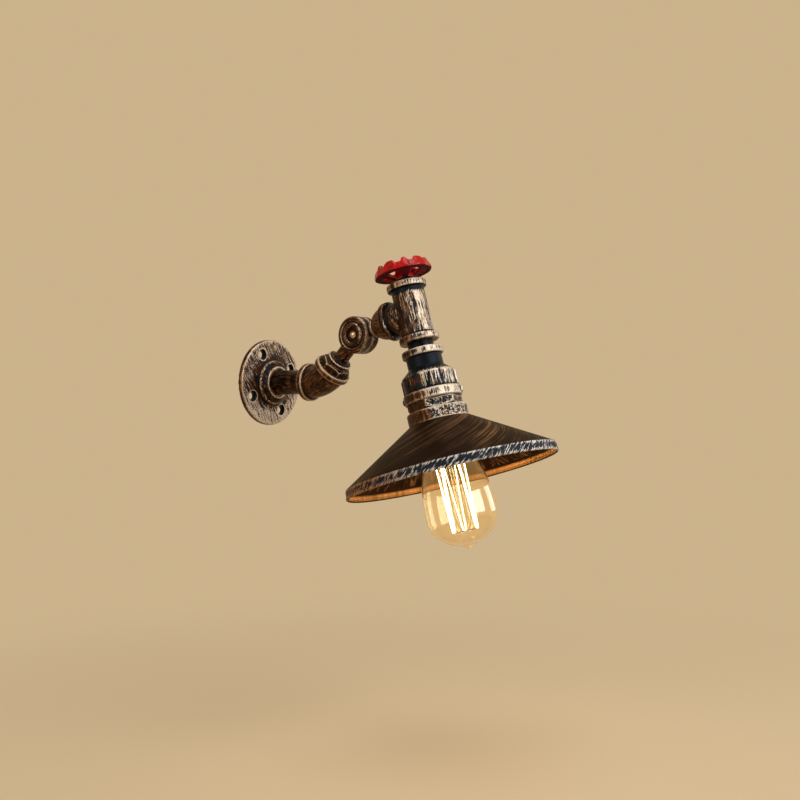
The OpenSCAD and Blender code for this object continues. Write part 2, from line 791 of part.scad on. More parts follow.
module rod_nut() {
    color(steel) down_run() translate([0, 0, reducer_end]) rotate([180, 0, 0]) difference() {
        hexagon(rod_nut_af, rod_nut_h);
        translate([0, 0, -cut]) cylinder(r = rod_hole_r, h = rod_nut_h + 2 * cut);
    }
}

module shade_collar() {
    color(pale_bronze) down_run() revolve(concat(
        [[rod_hole_r, plug_end]],
        arc([collar_r - collar_edge, plug_end + collar_edge], collar_edge, -90, 0),
        [[collar_r, shade_top], [collar_bore_r, shade_top]],
        [[collar_bore_r, holder_start], [rod_hole_r, holder_start]]
    ));
}

module shade() {
    inner_top_r = shade_top_r - shade_t * tan(shade_slope / 2);
    roll_r = shade_roll_d / 2;
    profile = concat(
        [[shade_hole_r, shade_top], [shade_top_r, shade_top]],
        arc(shade_bend_centre, shade_bend_r, shade_slope - 90, 0),
        [[shade_r, shade_rim - roll_r], [shade_r - shade_t, shade_rim - roll_r]],
        arc(shade_bend_centre, shade_bend_r - shade_t, 0, shade_slope - 90),
        [[inner_top_r, shade_top + shade_t], [shade_hole_r, shade_top + shade_t]]
    );
    color(dark_bronze) down_run() {
        revolve(profile);
        rotate_extrude() translate([shade_r - shade_t / 2, shade_rim - roll_r]) circle(r = roll_r);
    }
}

module shade_ring() {
    ring_start = shade_top + shade_t;
    color(black) down_run()
        tube(holder_r + ring_wall, holder_r + thread_gap, ring_start, ring_start + ring_h);
}

module lampholder() {
    color(porcelain) down_run() revolve([
        [rod_hole_r, holder_start], [holder_r, holder_start], [holder_r, holder_end],
        [holder_bore_r, holder_end], [holder_bore_r, holder_floor_end],
        [rod_bore_r, holder_floor_end], [rod_bore_r, rod_end], [rod_hole_r, rod_end]
    ]);
}

module screw_shell() {
    inner_r = contact_d / 2 + contact_t;
    shell_end = holder_floor_end + shell_len;
    color(brass) down_run() revolve([
        [inner_r, holder_floor_end], [shell_r, holder_floor_end], [shell_r, shell_end],
        [shell_bore_r, shell_end], [shell_bore_r, holder_floor_end + shell_t],
        [inner_r, holder_floor_end + shell_t]
    ]);
}

module centre_contact() {
    color(brass) down_run() translate([0, 0, holder_floor_end]) cylinder(d = contact_d, h = contact_t);
}

module bulb_cap() {
    color(brass) down_run() tube(cap_r, cap_r - cap_t, cap_start, cap_end);
}

module cap_insulator() {
    color(black) down_run() translate([0, 0, insulator_start])
        cylinder(r1 = cap_contact_d / 2, r2 = cap_r, h = insulator_h);
}

module cap_contact() {
    color(steel) down_run() translate([0, 0, contact_end])
        cylinder(d1 = cap_contact_d - 2 * cap_contact_h, d2 = cap_contact_d, h = cap_contact_h);
}

// Radius of the bulb from its neck to its widest part
function bulb_swell(share) = glass_neck_r + (bulb_r - glass_neck_r) * (1 - cos(180 * sqrt(share))) / 2;

// Half outline of the bulb, drawn in by a distance, from the neck to the axis
function bulb_outline(inset, steps = 14) = concat(
    [[glass_neck_r - inset, glass_start]],
    [for (i = [0 : steps - 1]) [bulb_swell(i / steps) - inset, cap_end + bulb_shoulder * i / steps]],
    [for (i = [0 : steps]) [
        (bulb_r - inset) * cos(90 * i / steps),
        bulb_widest + (bulb_end - inset) * sin(90 * i / steps)
    ]]
);

// A list in reverse order
function backwards(list) = [for (i = [len(list) - 1 : -1 : 0]) list[i]];

module bulb_glass() {
    tip_r = tip_d / 2;
    color(clear_glass) down_run() {
        revolve(concat(bulb_outline(0), backwards(bulb_outline(glass_wall))));
        translate([0, 0, bulb_bottom - glass_wall / 2]) intersection() {
            translate([0, 0, tip_h + glass_wall / 2 - tip_r]) sphere(r = tip_r);
            cylinder(r = tip_r + cut, h = tip_h + glass_wall);
        }
    }
}

module bulb_stem() {
    tube_r = stem_tube_d / 2;
    tube_end = cap_end + stem_tube_len;
    color(clear_glass) down_run() {
        revolve([
            [0, glass_start], [stem_flare_r, glass_start], [stem_flare_r, cap_end],
            [tube_r, cap_end + tube_r], [tube_r, tube_end], [arbor_r, tube_end + tube_r],
            [arbor_r, cage_end_z], [0, cage_end_z]
        ]);
    }
}

// Angle of a bend in the filament, counted round the cage from its first end
function bend_angle(i) = 180 / hairpins * i;
// True where a bend hangs on an upper support
function is_top(i) = i % 2 == 0;
// A point on the cage at a bend, turned aside by an angle and drawn back along the strand
function cage_point(i, aside, back) =
    let (r = is_top(i) ? cage_top_r : cage_end_r, z = is_top(i) ? cage_top_z + back : cage_end_z - back)
        [r * cos(bend_angle(i) + aside), r * sin(bend_angle(i) + aside), z];
// The filament's course: three points round each support
filament_course = [for (i = [0 : last_bend], k = [-1 : 1])
    cage_point(i, k * hairpin_spread, abs(k) * hairpin_rise)];
// Unit vector
function unit(v) = v / norm(v);
// Direction of a course at one of its points
function heading(course, i) = unit(course[min(i + 1, len(course) - 1)] - course[max(i - 1, 0)]);
// Side of a course at one of its points, square to its direction and facing out of the cage
function facing(course, i) =
    let (t = heading(course, i), out = unit([course[i][0], course[i][1], 0]))
        unit(out - (out * t) * t);

module filament_supports() {
    reach_gap = filament_r + support_reach_gap;
    start_r = arbor_r + thread_gap;
    color(steel) down_run()
        for (i = [0 : last_bend])
            rotate(bend_angle(i)) translate([start_r, 0, is_top(i) ? cage_top_z : cage_end_z])
                rotate([0, 90, 0]) cylinder(
                    d = support_d,
                    h = (is_top(i) ? cage_top_r : cage_end_r) - start_r - reach_gap
                );
}

// Many-sided tube along a course round the Z axis
module strand(course, r, sides) {
    last = len(course) - 1;
    rings = [for (i = [0 : last], k = [0 : sides - 1])
        let (out = facing(course, i), side = cross(heading(course, i), out))
            course[i] + r * (cos(360 / sides * k) * out + sin(360 / sides * k) * side)];
    walls = [for (i = [0 : last - 1], k = [0 : sides - 1])
        let (a = i * sides + k, b = i * sides + (k + 1) % sides)
            each [[a, a + sides, b + sides], [a, b + sides, b]]];
    first_end = [[for (k = [0 : sides - 1]) k]];
    last_end = [[for (k = [sides - 1 : -1 : 0]) last * sides + k]];
    polyhedron(rings, concat(walls, first_end, last_end));
}

module filament() {
    color(glow) down_run() strand(filament_course, filament_r, filament_sides);
}

module valve_bonnet() {
    shoulder_room = 2 * running_gap;
    pocket_r = spindle_shoulder_d / 2 + hub_gap;
    color(dark_bronze) up_run() difference() {
        union() {
            translate([0, 0, tee_half]) hexagon(bush_af, bonnet_hex_h);
            translate([0, 0, bonnet_start]) cylinder(r = pipe_r, h = tee_thread + bonnet_hex_h / 2);
        }
        translate([0, 0, bonnet_start - cut])
            cylinder(r = spindle_hole_r, h = tee_thread + bonnet_hex_h + 2 * cut);
        translate([0, 0, bonnet_start - cut])
            cylinder(r = pocket_r, h = spindle_shoulder_t + 2 * shoulder_room + cut);
    }
}

module switch_body() {
    color(black) up_run() difference() {
        translate([0, 0, bonnet_start - switch_len]) cylinder(d = switch_d, h = switch_len);
        translate([0, 0, bonnet_start - spindle_in_switch - running_gap])
            cylinder(r = spindle_hole_r, h = spindle_in_switch + running_gap + cut);
    }
}

module valve_stem() {
    shoulder_start = bonnet_start + 2 * running_gap;
    color(steel) up_run() revolve([
        [0, bonnet_start - spindle_in_switch], [spindle_r, bonnet_start - spindle_in_switch],
        [spindle_r, shoulder_start], [spindle_shoulder_d / 2, shoulder_start],
        [spindle_shoulder_d / 2, shoulder_start + spindle_shoulder_t],
        [spindle_r, shoulder_start + spindle_shoulder_t], [spindle_r, wheel_hub_end],
        [spindle_end_r, wheel_hub_end], [spindle_end_r, spindle_tip_end], [0, spindle_tip_end]
    ]);
}

// Frame at the rim's lower edge, with Z up the leaning wall and X out of it
module on_rim_wall() {
    translate([rim_r, 0, 0]) rotate([0, -rim_lean, 0]) children();
}

// One lobe of the rim: a round disc that faces outwards
module lobe() {
    lobe_t = lobe_step + rim_wall + rim_wall / 2;
    on_rim_wall() translate([lobe_step, 0, rim_slant_h - lobe_r]) rotate([0, -90, 0]) difference() {
        bead(lobe_r, lobe_t, rim_round, rim_steps);
        translate([0, 0, -cut]) cylinder(d = dimple_d, h = dimple_depth + cut);
    }
}

// One knob of the rim, between two lobes
module knob() {
    on_rim_wall() translate([knob_step - knob_r, 0, 0]) bead(knob_r, rim_slant_h, rim_round, rim_steps);
}

// Centre of the rounding of the ring's edge at a height
function ring_corner(z) = [rim_r - z * rim_pitch - rim_round / cos(rim_lean), z];

// Waved rim: a leaning ring with lobes and knobs on it
module waved_rim() {
    difference() {
        union() {
            revolve(concat(
                [[0, 0]],
                arc(ring_corner(rim_round), rim_round, -90, rim_lean, rim_steps),
                arc(ring_corner(rim_low_h - rim_round), rim_round, rim_lean, 90, rim_steps),
                [[0, rim_low_h]]
            ));
            difference() {
                union() {
                    for (i = [0 : lobe_count - 1])
                        rotate(i * lobe_share) lobe();
                    for (i = [0 : lobe_count - 1])
                        rotate(i * lobe_share + knob_turn) knob();
                }
                translate([0, 0, foot_rise - rim_h]) cylinder(r = wheel_d, h = rim_h);
            }
        }
        translate([0, 0, -cut]) cylinder(
            r1 = rim_bore_r + cut * rim_pitch,
            r2 = rim_bore_r - (rim_h + cut) * rim_pitch,
            h = rim_h + 2 * cut
        );
    }
}

module handwheel() {
    web_start = rim_start - dish_depth;
    window_r = wheel_hub_r + window_margin;
    window_w = rim_bore_r - 2 * window_margin - window_r;
    color(red) up_run() rotate(wheel_turn) difference() {
        union() {
            translate([0, 0, rim_start]) waved_rim();
            revolve([
                [0, web_start], [wheel_hub_r, web_start], [web_r, rim_start + rim_round],
                [web_r, rim_start + rim_round + web_t], [wheel_hub_r, web_start + web_t],
                [0, web_start + web_t]
            ]);
            translate([0, 0, wheel_hub_start]) bead(wheel_hub_r, wheel_hub_h, rim_round, rim_steps);
        }
        for (i = [0 : lobe_count - 1])
            rotate(i * lobe_share - window_angle / 2) rotate_extrude(angle = window_angle)
                translate([window_r, web_start - cut])
                    square([window_w, dish_depth + rim_round + web_t + 2 * cut]);
        translate([0, 0, web_start - cut])
            cylinder(r = spindle_r + thread_gap, h = wheel_hub_h + 2 * cut);
    }
}

module wheel_nut() {
    dome_r = wheel_dome_d / 2;
    color(red) up_run() translate([0, 0, wheel_hub_end]) difference() {
        union() {
            hexagon(wheel_nut_af, wheel_nut_h);
            translate([0, 0, wheel_nut_h / 2])
                cylinder(r = dome_r, h = wheel_nut_h / 2 + wheel_dome_h - dome_r);
            translate([0, 0, wheel_nut_h + wheel_dome_h - dome_r]) sphere(r = dome_r);
        }
        translate([0, 0, -cut])
            cylinder(r = spindle_end_r + thread_gap, h = spindle_tip_end - wheel_hub_end + tip_room + cut);
    }
}

wall_flange();
wall_nipple();
elbow();
elbow_bush();
knuckle_base();
pivot_screw();
friction_washer();
spring_washer();
pivot_nut();
knuckle_arm();
branch_bush();
tee();
tee_nipple();
reducer();
hex_plug();
lamp_rod();
rod_nut();
shade_collar();
shade();
shade_ring();
lampholder();
screw_shell();
centre_contact();
bulb_cap();
cap_insulator();
cap_contact();
bulb_glass();
bulb_stem();
filament_supports();
filament();
valve_bonnet();
switch_body();
valve_stem();
handwheel();
wheel_nut();
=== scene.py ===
import math

import bmesh
import bpy
import numpy as np
from mathutils import Matrix, Vector


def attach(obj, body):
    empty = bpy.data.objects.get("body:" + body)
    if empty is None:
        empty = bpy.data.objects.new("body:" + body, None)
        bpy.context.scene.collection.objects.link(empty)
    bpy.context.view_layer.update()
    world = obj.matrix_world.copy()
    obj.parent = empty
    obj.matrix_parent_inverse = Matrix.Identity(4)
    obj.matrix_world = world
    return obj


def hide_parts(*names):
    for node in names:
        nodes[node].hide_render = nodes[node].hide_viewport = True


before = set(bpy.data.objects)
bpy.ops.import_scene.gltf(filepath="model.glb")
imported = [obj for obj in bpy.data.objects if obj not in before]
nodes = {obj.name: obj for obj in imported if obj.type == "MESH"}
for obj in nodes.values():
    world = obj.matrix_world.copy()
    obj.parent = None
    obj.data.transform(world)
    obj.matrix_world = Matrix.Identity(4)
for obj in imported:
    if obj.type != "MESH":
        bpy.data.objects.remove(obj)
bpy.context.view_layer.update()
scene = bpy.context.scene
mm = 0.001
print("frame loaded:", len(nodes), "nodes")


def turnedFrame(y, z, turn):
    # a frame in the lamp's middle plane, its Z axis turned about X
    return Matrix.Translation((0, y * mm, z * mm)) @ Matrix.Rotation(math.radians(turn), 4, "X")


wallFrame = turnedFrame(0, 0, 90)  # Z along the flange's axis, Y up
legFrame = turnedFrame(-64.3, 0, 45)  # Z along the elbow's upper leg
branchFrame = turnedFrame(-103.686, 39.386, 73.5)  # Z along the tee's branch
runFrame = turnedFrame(-160.017, 56.072, 163.5)  # Z down the tee's run, Y away from the flange
wheelFrame = runFrame @ Matrix.Rotation(math.pi, 4, "X")  # Z up the tee's run


def addObject(name, data):
    made = bpy.data.objects.new(name, data)
    scene.collection.objects.link(made)
    return made


def lookAt(made, place, aim):
    made.location = place
    made.rotation_euler = (Vector(aim) - Vector(place)).to_track_quat("-Z", "Y").to_euler()


# camera

cameraSetup = {
    "place": (-0.7848, -0.7249, -0.0095),
    "aim": (0.0, -0.147, -0.0152),
    "lens": 53.24,
    "sensor": 36.0,
    "nearest": 0.01,
}


def makeCamera(cfg):
    data = bpy.data.cameras.new("photoCamera")
    data.lens = cfg["lens"]
    data.sensor_width = cfg["sensor"]
    data.clip_start = cfg["nearest"]
    scene.camera = addObject("photoCamera", data)
    lookAt(scene.camera, cfg["place"], cfg["aim"])


makeCamera(cameraSetup)
scene.view_settings.view_transform = "Standard"
print("camera set")


# shader helpers

def addNode(tree, kind, inputs=None, **settings):
    made = tree.nodes.new(kind)
    for key, value in settings.items():
        setattr(made, key, value)
    for key, value in (inputs or {}).items():
        feed(tree, value, made.inputs[key])
    return made


def feed(tree, value, socket):
    if isinstance(value, bpy.types.NodeSocket):
        tree.links.new(value, socket)
    else:
        socket.default_value = value


def calc(tree, operation, a, b=0.0):
    return addNode(tree, "ShaderNodeMath", {0: a, 1: b}, operation=operation).outputs[0]


def times(tree, a, b):
    return calc(tree, "MULTIPLY", a, b)


def hypotenuse(tree, a, b):
    return calc(tree, "SQRT", calc(tree, "ADD", times(tree, a, a), times(tree, b, b)))


def addUp(tree, *terms):
    # sum of value times weight
    total = 0.0
    for value, weight in terms:
        made = addNode(tree, "ShaderNodeMath", {0: value, 1: weight, 2: total},
                       operation="MULTIPLY_ADD")
        total = made.outputs[0]
    return total


def between(tree, value, low, high, toLow=0.0, toHigh=1.0):
    made = addNode(tree, "ShaderNodeMapRange", {0: value, 1: low, 2: high, 3: toLow, 4: toHigh},
                   interpolation_type="SMOOTHSTEP")
    return made.outputs[0]


def inRange(tree, value, low, high, soft):
    # one from low to high, fading out over soft on both sides of each end
    return times(tree, between(tree, value, low - soft, low + soft),
                 between(tree, value, high - soft, high + soft, 1.0, 0.0))


def mixColours(tree, factor, a, b):
    made = addNode(tree, "ShaderNodeMix", {0: factor, 6: a, 7: b}, data_type="RGBA")
    return made.outputs[2]


def noise(tree, vector, scale, detail=4.0, rough=0.55, warp=0.0):
    made = addNode(tree, "ShaderNodeTexNoise", {
        "Vector": vector, "Scale": scale, "Detail": detail, "Roughness": rough, "Distortion": warp})
    return calc(tree, "SUBTRACT", made.outputs[0], 0.5)  # about zero, from -0.5 to 0.5


def localCoords(tree, local, stretch=(1, 1, 1)):
    # object coordinates laid into a local frame, in millimetres, then stretched
    back = local.inverted()
    coords = addNode(tree, "ShaderNodeTexCoord").outputs["Object"]
    laid = addNode(tree, "ShaderNodeMapping", {
        "Vector": coords, "Location": back.to_translation(), "Rotation": back.to_euler()},
        vector_type="POINT").outputs[0]
    return addNode(tree, "ShaderNodeVectorMath", {0: laid, 1: [1000 * s for s in stretch]},
                   operation="MULTIPLY").outputs[0]


def roundCoords(tree, local):
    # place about a local Z axis, in millimetres and radians; across is along Y
    x, y, z = addNode(tree, "ShaderNodeSeparateXYZ", {0: localCoords(tree, local)}).outputs
    return {"radius": hypotenuse(tree, x, y), "turn": calc(tree, "ARCTAN2", y, x),
            "height": z, "across": y}


def ringVector(tree, turn, size, along):
    # the turn goes round a circle, so that a pattern on it closes without a seam
    return addNode(tree, "ShaderNodeCombineXYZ", {
        0: times(tree, calc(tree, "COSINE", turn), size),
        1: times(tree, calc(tree, "SINE", turn), size), 2: along}).outputs[0]


def attribute(tree, name):
    return addNode(tree, "ShaderNodeAttribute", attribute_name=name).outputs["Fac"]


def newMaterial(name, metal=0.0, gloss=0.5):
    mat = bpy.data.materials.new(name)
    mat.use_nodes = True
    tree = mat.node_tree
    tree.nodes.clear()
    shader = addNode(tree, "ShaderNodeBsdfPrincipled",
                     {"Metallic": metal, "Specular IOR Level": gloss})
    out = addNode(tree, "ShaderNodeOutputMaterial")
    tree.links.new(shader.outputs[0], out.inputs[0])
    return mat, tree, shader


def addBump(tree, shader, height, strength, reach):
    made = addNode(tree, "ShaderNodeBump",
                   {"Height": height, "Strength": strength, "Distance": reach})
    tree.links.new(made.outputs[0], shader.inputs["Normal"])


# finish of the castings: copper brown over black, with pale metal brushed over what stands out;
# light and shade are painted in by side, in the screw holes and on the wall side

castColours = {
    "black": (0.0060, 0.0082, 0.0118, 1),
    "brown": (0.036, 0.0145, 0.0060, 1),
    "copper": (0.25, 0.112, 0.046, 1),
    "pale": (0.56, 0.50, 0.43, 1),
    "tan": (0.34, 0.235, 0.150, 1),
}
castWear = {
    "metal": 0.55, "gloss": 0.05, "bump": 0.6,
    "streak": (1.0, 1.0, 0.07), "strand": (1.0, 1.0, 0.22),  # marks are drawn out along Z
    "paleFrom": 0.36, "paleTo": 0.72,  # brushed pale from one level to the other
    "bareLift": -1.6, "bareWarm": -0.9, "ragged": 10.0,  # what stays black
    "wallSideShade": -0.8,  # painted shade on the wall side, which the brush also didn't reach
    "holeShade": 1.4, "holeRim": 0.7,  # painted shade in the screw holes, with worn rims
    "markBare": -0.6,  # how much a dark mark also loses its brown
    "stripeRing": 3.4, "stripeAlong": 0.03,
}


def nearHole(tree, holes):
    # distance to the middle of the nearest screw hole; the holes stand evenly round a circle
    spot = roundCoords(tree, wallFrame)
    sector = 2 * math.pi / holes["count"]
    start = 2.5 - math.radians(holes["first"]) / sector  # a hole lies halfway along its sector
    share = calc(tree, "FRACT", addUp(tree, (spot["turn"], 1 / sector), (1.0, start)))
    aside = addUp(tree, (share, sector), (1.0, -sector / 2))
    along = times(tree, spot["radius"], calc(tree, "COSINE", aside))
    outward = calc(tree, "SUBTRACT", along, holes["circle"])
    across = times(tree, spot["radius"], calc(tree, "SINE", aside))
    return hypotenuse(tree, outward, across)


def bareBands(tree, bands, height, streaks):
    # stretches of the run that stay black, with a ragged lower end
    ragged = addUp(tree, (height, 1.0), (streaks, castWear["ragged"]))
    bare = 0.0
    for low, high in bands:
        inBand = times(tree, between(tree, height, low - 0.5, low + 0.5),
                       between(tree, ragged, high - 0.8, high + 0.8, 1.0, 0.0))
        bare = addUp(tree, (inBand, 1.0), (bare, 1.0))
    return bare


def castMaterial(name, cfg):
    colours, wear, local = castColours, castWear, cfg["frame"]
    mat, tree, shader = newMaterial(name, wear["metal"], wear["gloss"])
    plain = localCoords(tree, local)
    raised = attribute(tree, "raised")
    edge = attribute(tree, "edge")
    # painted light and shade: the side turned to the light gets more pale metal and cream, the side
    # away loses pale metal and copper
    facing = between(tree, attribute(tree, "facing"), -0.6, 0.2, -0.7, 0.3)
    streaks = noise(tree, localCoords(tree, local, wear["streak"]),
                    scale=1.25, detail=5.0, rough=0.62, warp=0.2)
    strands = noise(tree, localCoords(tree, local, wear["strand"]),
                    scale=0.45, detail=5.0, rough=0.65, warp=0.4)
    blotches = noise(tree, plain, scale=0.12, detail=3.0, rough=0.5)
    specks = noise(tree, plain, scale=0.65, detail=4.0, rough=0.7)
    lift = addUp(tree, (raised, cfg["raised"]), (edge, cfg["edge"]), (streaks, cfg["streaks"]),
                 (specks, cfg["specks"]), (facing, cfg["brushedAndLit"]), (1.0, cfg["pale"]))
    if {"columns", "bare", "shadedSide"} & set(cfg):
        spot = roundCoords(tree, local)
    if "columns" in cfg:  # the brush left broad stripes along the run
        turned = addUp(tree, (spot["turn"], 1.0), (1.0, cfg["columnTurn"]))
        along = times(tree, spot["height"], wear["stripeAlong"])
        stripes = noise(tree, ringVector(tree, turned, wear["stripeRing"], along),
                        scale=1.0, detail=2.0, rough=0.5)
        lift = addUp(tree, (lift, 1.0), (stripes, cfg["columns"]))
    bare = 0.0
    if "bare" in cfg:
        bare = bareBands(tree, cfg["bare"], spot["height"], streaks)
        lift = addUp(tree, (lift, 1.0), (bare, wear["bareLift"]))
    if "shadedSide" in cfg:  # painted shade on the flange's side, which the brush also didn't reach
        low, high = cfg["shadedSide"]
        wallSideShade = between(tree, spot["across"], low, high, wear["wallSideShade"], 0.0)
        lift = addUp(tree, (lift, 1.0), (wallSideShade, 1.0))
    if "holes" in cfg:  # painted shade inside, with a worn rim
        away = nearHole(tree, cfg["holes"])
        mouth = cfg["holes"]["sunk"]
        holeShadow = between(tree, away, mouth - 0.2, mouth + 0.1, 1.0, 0.0)
        onRim = inRange(tree, away, mouth + 0.2, mouth + 0.9, soft=0.2)
        bare = addUp(tree, (bare, 1.0), (holeShadow, wear["holeShade"]))
        lift = addUp(tree, (lift, 1.0), (holeShadow, wear["bareLift"]), (onRim, wear["holeRim"]))
    for measure, low, high, soft, amount in cfg.get("marks", ()):  # darker stretches of painted shade, and paler stretches
        inMark = inRange(tree, roundCoords(tree, wallFrame)[measure], low, high, soft)
        lift = addUp(tree, (lift, 1.0), (inMark, amount))
        bare = addUp(tree, (bare, 1.0), (inMark, max(0.0, wear["markBare"] * amount)))
    paleShare = between(tree, lift, wear["paleFrom"], wear["paleTo"])
    warm = addUp(tree, (blotches, 2.4), (strands, 1.4), (facing, -0.55 * cfg["brushedAndLit"]),
                 (raised, 0.18), (bare, wear["bareWarm"]), (1.0, cfg["brown"]))
    brownShare = between(tree, warm, 0.0, 0.6)
    glint = addUp(tree, (strands, 2.6), (streaks, 1.6), (edge, 0.35), (raised, 0.22),
                  (1.0, cfg["copper"]))
    copperShare = times(tree, times(tree, between(tree, glint, 0.2, 0.9), brownShare),
                        between(tree, facing, -0.7, -0.2, 0.5, 1.0))
    under = mixColours(tree, brownShare, colours["black"], colours["brown"])
    under = mixColours(tree, copperShare, under, colours["copper"])
    creamy = addUp(tree, (specks, 1.5), (facing, 0.5), (1.0, cfg["cream"]))
    over = mixColours(tree, between(tree, creamy, -0.35, 0.35), colours["tan"], colours["pale"])
    feed(tree, mixColours(tree, paleShare, under, over), shader.inputs["Base Color"])
    rough = addUp(tree, (paleShare, 0.06), (specks, 0.22), (1.0, cfg["rough"]))
    feed(tree, rough, shader.inputs["Roughness"])
    height = addUp(tree, (specks, 0.5 + 0.5 * cfg["specks"]), (streaks, 0.9), (paleShare, 0.15))
    addBump(tree, shader, height, wear["bump"], (0.25 + 0.12 * cfg["specks"]) * mm)
    return mat


# turned and joined shapes

def smoothFaces(mesh):
    mesh.polygons.foreach_set("use_smooth", np.ones(len(mesh.polygons), dtype=bool))


def keepForm(form, name):
    mesh = bpy.data.meshes.new(name)
    form.to_mesh(mesh)
    form.free()
    return mesh


def joinMeshes(piece, other):
    form = bmesh.new()
    form.from_mesh(piece.data)
    form.from_mesh(other.data)
    form.to_mesh(piece.data)
    form.free()
    bpy.data.objects.remove(other)


def linePoints(start, end, steps):
    return [(start[0] + (end[0] - start[0]) * i / steps, start[1] + (end[1] - start[1]) * i / steps)
            for i in range(steps + 1)]


def arcPoints(centre, radius, start, end, steps):
    turns = [math.radians(start + (end - start) * i / steps) for i in range(steps + 1)]
    return [(centre[0] + radius * math.cos(t), centre[1] + radius * math.sin(t)) for t in turns]


def lathe(name, outline, local, segments):
    # outline is a closed loop of (radius, height) in millimetres; points on the axis become poles
    form = bmesh.new()
    rings = []
    for radius, height in outline:
        count = segments if radius > 1e-6 else 1
        turns = [2 * math.pi * i / segments for i in range(count)]
        rings.append([form.verts.new((radius * mm * math.cos(t), radius * mm * math.sin(t),
                                      height * mm)) for t in turns])
    for a, b in zip(rings, rings[1:] + rings[:1]):
        for i in range(segments):
            j = (i + 1) % segments
            if len(a) > 1 and len(b) > 1:
                form.faces.new((a[i], a[j], b[j], b[i]))
            elif len(a) > 1:
                form.faces.new((a[i], a[j], b[0]))
            elif len(b) > 1:
                form.faces.new((a[0], b[j], b[i]))
    bmesh.ops.recalc_face_normals(form, faces=form.faces)
    form.transform(local)
    mesh = keepForm(form, name)
    smoothFaces(mesh)
    mesh.set_sharp_from_angle(angle=math.radians(40))
    return addObject(name, mesh)


# skins of the castings: the node's shape with the soft edges and hollows of a casting

skinSetup = {
    "rates": (0.5, -0.52),  # pulling in and pushing out by turns rounds edges and keeps the size
    "nearRounds": 8, "facingRounds": 4,
    "edgeStep": 0.12, "raisedStep": 0.6,  # what counts as standing out, in millimetres
}
lightAndBrushSide = np.array(Vector((0.42, -0.85, 0.32)).normalized())  # pale metal and painted light come from here
runDown = np.array(runFrame.to_3x3() @ Vector((0, 0, 1)))


def looseCopy(name, nodeName):
    mesh = nodes[nodeName].data.copy()
    mesh.materials.clear()
    form = bmesh.new()
    form.from_mesh(mesh)
    bmesh.ops.remove_doubles(form, verts=form.verts, dist=0.002 * mm)
    form.to_mesh(mesh)
    form.free()
    return addObject(name, mesh)


def bakeModifiers(piece):
    graph = bpy.context.evaluated_depsgraph_get()
    mesh = bpy.data.meshes.new_from_object(piece.evaluated_get(graph))
    old = piece.data
    piece.modifiers.clear()
    piece.data = mesh
    bpy.data.meshes.remove(old)


def readArray(items, field, width, kind=float):
    values = np.empty(len(items) * width, dtype=kind)
    items.foreach_get(field, values)
    return values.reshape(-1, width)


def setAttribute(mesh, name, values):
    made = mesh.attributes.new(name, "FLOAT", "POINT")
    made.data.foreach_set("value", np.ascontiguousarray(values, dtype=np.float32))


def relax(values, edges, counts, rounds, rates=(0.5,)):
    for step in range(rounds):
        rate = rates[step % len(rates)]
        moved = np.empty_like(values)
        for k in range(values.shape[1]):
            column = values[:, k]
            total = np.bincount(edges[:, 0], column[edges[:, 1]], len(column))
            total += np.bincount(edges[:, 1], column[edges[:, 0]], len(column))
            moved[:, k] = column + rate * (total / counts - column)
        values = moved
    return values


def softenSkin(piece, voxel, soften, broad):
    # even grid of faces, rounded edges without loss of size, and how far each point stands out
    grid = piece.modifiers.new("grid", "REMESH")
    grid.mode = "VOXEL"
    grid.voxel_size = voxel * mm
    bakeModifiers(piece)
    mesh = piece.data
    points = readArray(mesh.vertices, "co", 3)
    edges = readArray(mesh.edges, "vertices", 2, np.int64)
    counts = np.maximum(np.bincount(edges.ravel(), minlength=len(points)), 1)
    points = relax(points, edges, counts, soften, skinSetup["rates"])
    mesh.vertices.foreach_set("co", points.ravel())
    mesh.update()
    normals = readArray(mesh.vertex_normals, "vector", 3)
    near = relax(points, edges, counts, skinSetup["nearRounds"])
    far = relax(near, edges, counts, broad)
    for name, base, step in (("edge", near, "edgeStep"), ("raised", far, "raisedStep")):
        setAttribute(mesh, name, ((points - base) * normals).sum(1) / (skinSetup[step] * mm))
    # how each point is turned towards the light and down the run, read by the painted light and
    # painted shade
    smooth = relax(normals, edges, counts, skinSetup["facingRounds"])
    setAttribute(mesh, "facing", smooth @ lightAndBrushSide)
    setAttribute(mesh, "under", smooth @ runDown)
    smoothFaces(mesh)


def sinkHoles(piece, holes):
    # a shallow cone at the mouth of each screw hole; the back of the flange stays still
    mesh = piece.data
    turned = np.array(wallFrame.to_3x3())
    local = readArray(mesh.vertices, "co", 3) @ turned / mm
    for i in range(holes["count"]):
        turn = math.radians(holes["first"] + 360 * i / holes["count"])
        away = np.hypot(local[:, 0] - holes["circle"] * math.cos(turn),
                        local[:, 1] - holes["circle"] * math.sin(turn))
        inward = np.clip(holes["sunk"] - away, 0.0, holes["sunk"] - holes["radius"])
        front = np.clip((local[:, 2] - holes["still"]) / holes["fade"], 0.0, 1.0)
        local[:, 2] -= inward * holes["slope"] * front
    mesh.vertices.foreach_set("co", (local * mm @ turned.T).ravel())
    mesh.update()


def setPiece(piece, body, replaced, material):
    piece.data.materials.clear()
    piece.data.materials.append(material)
    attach(piece, body)
    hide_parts(replaced)


flatTurn = Matrix.Rotation(math.radians(150), 4, "Y")  # brush strokes slant across the flange
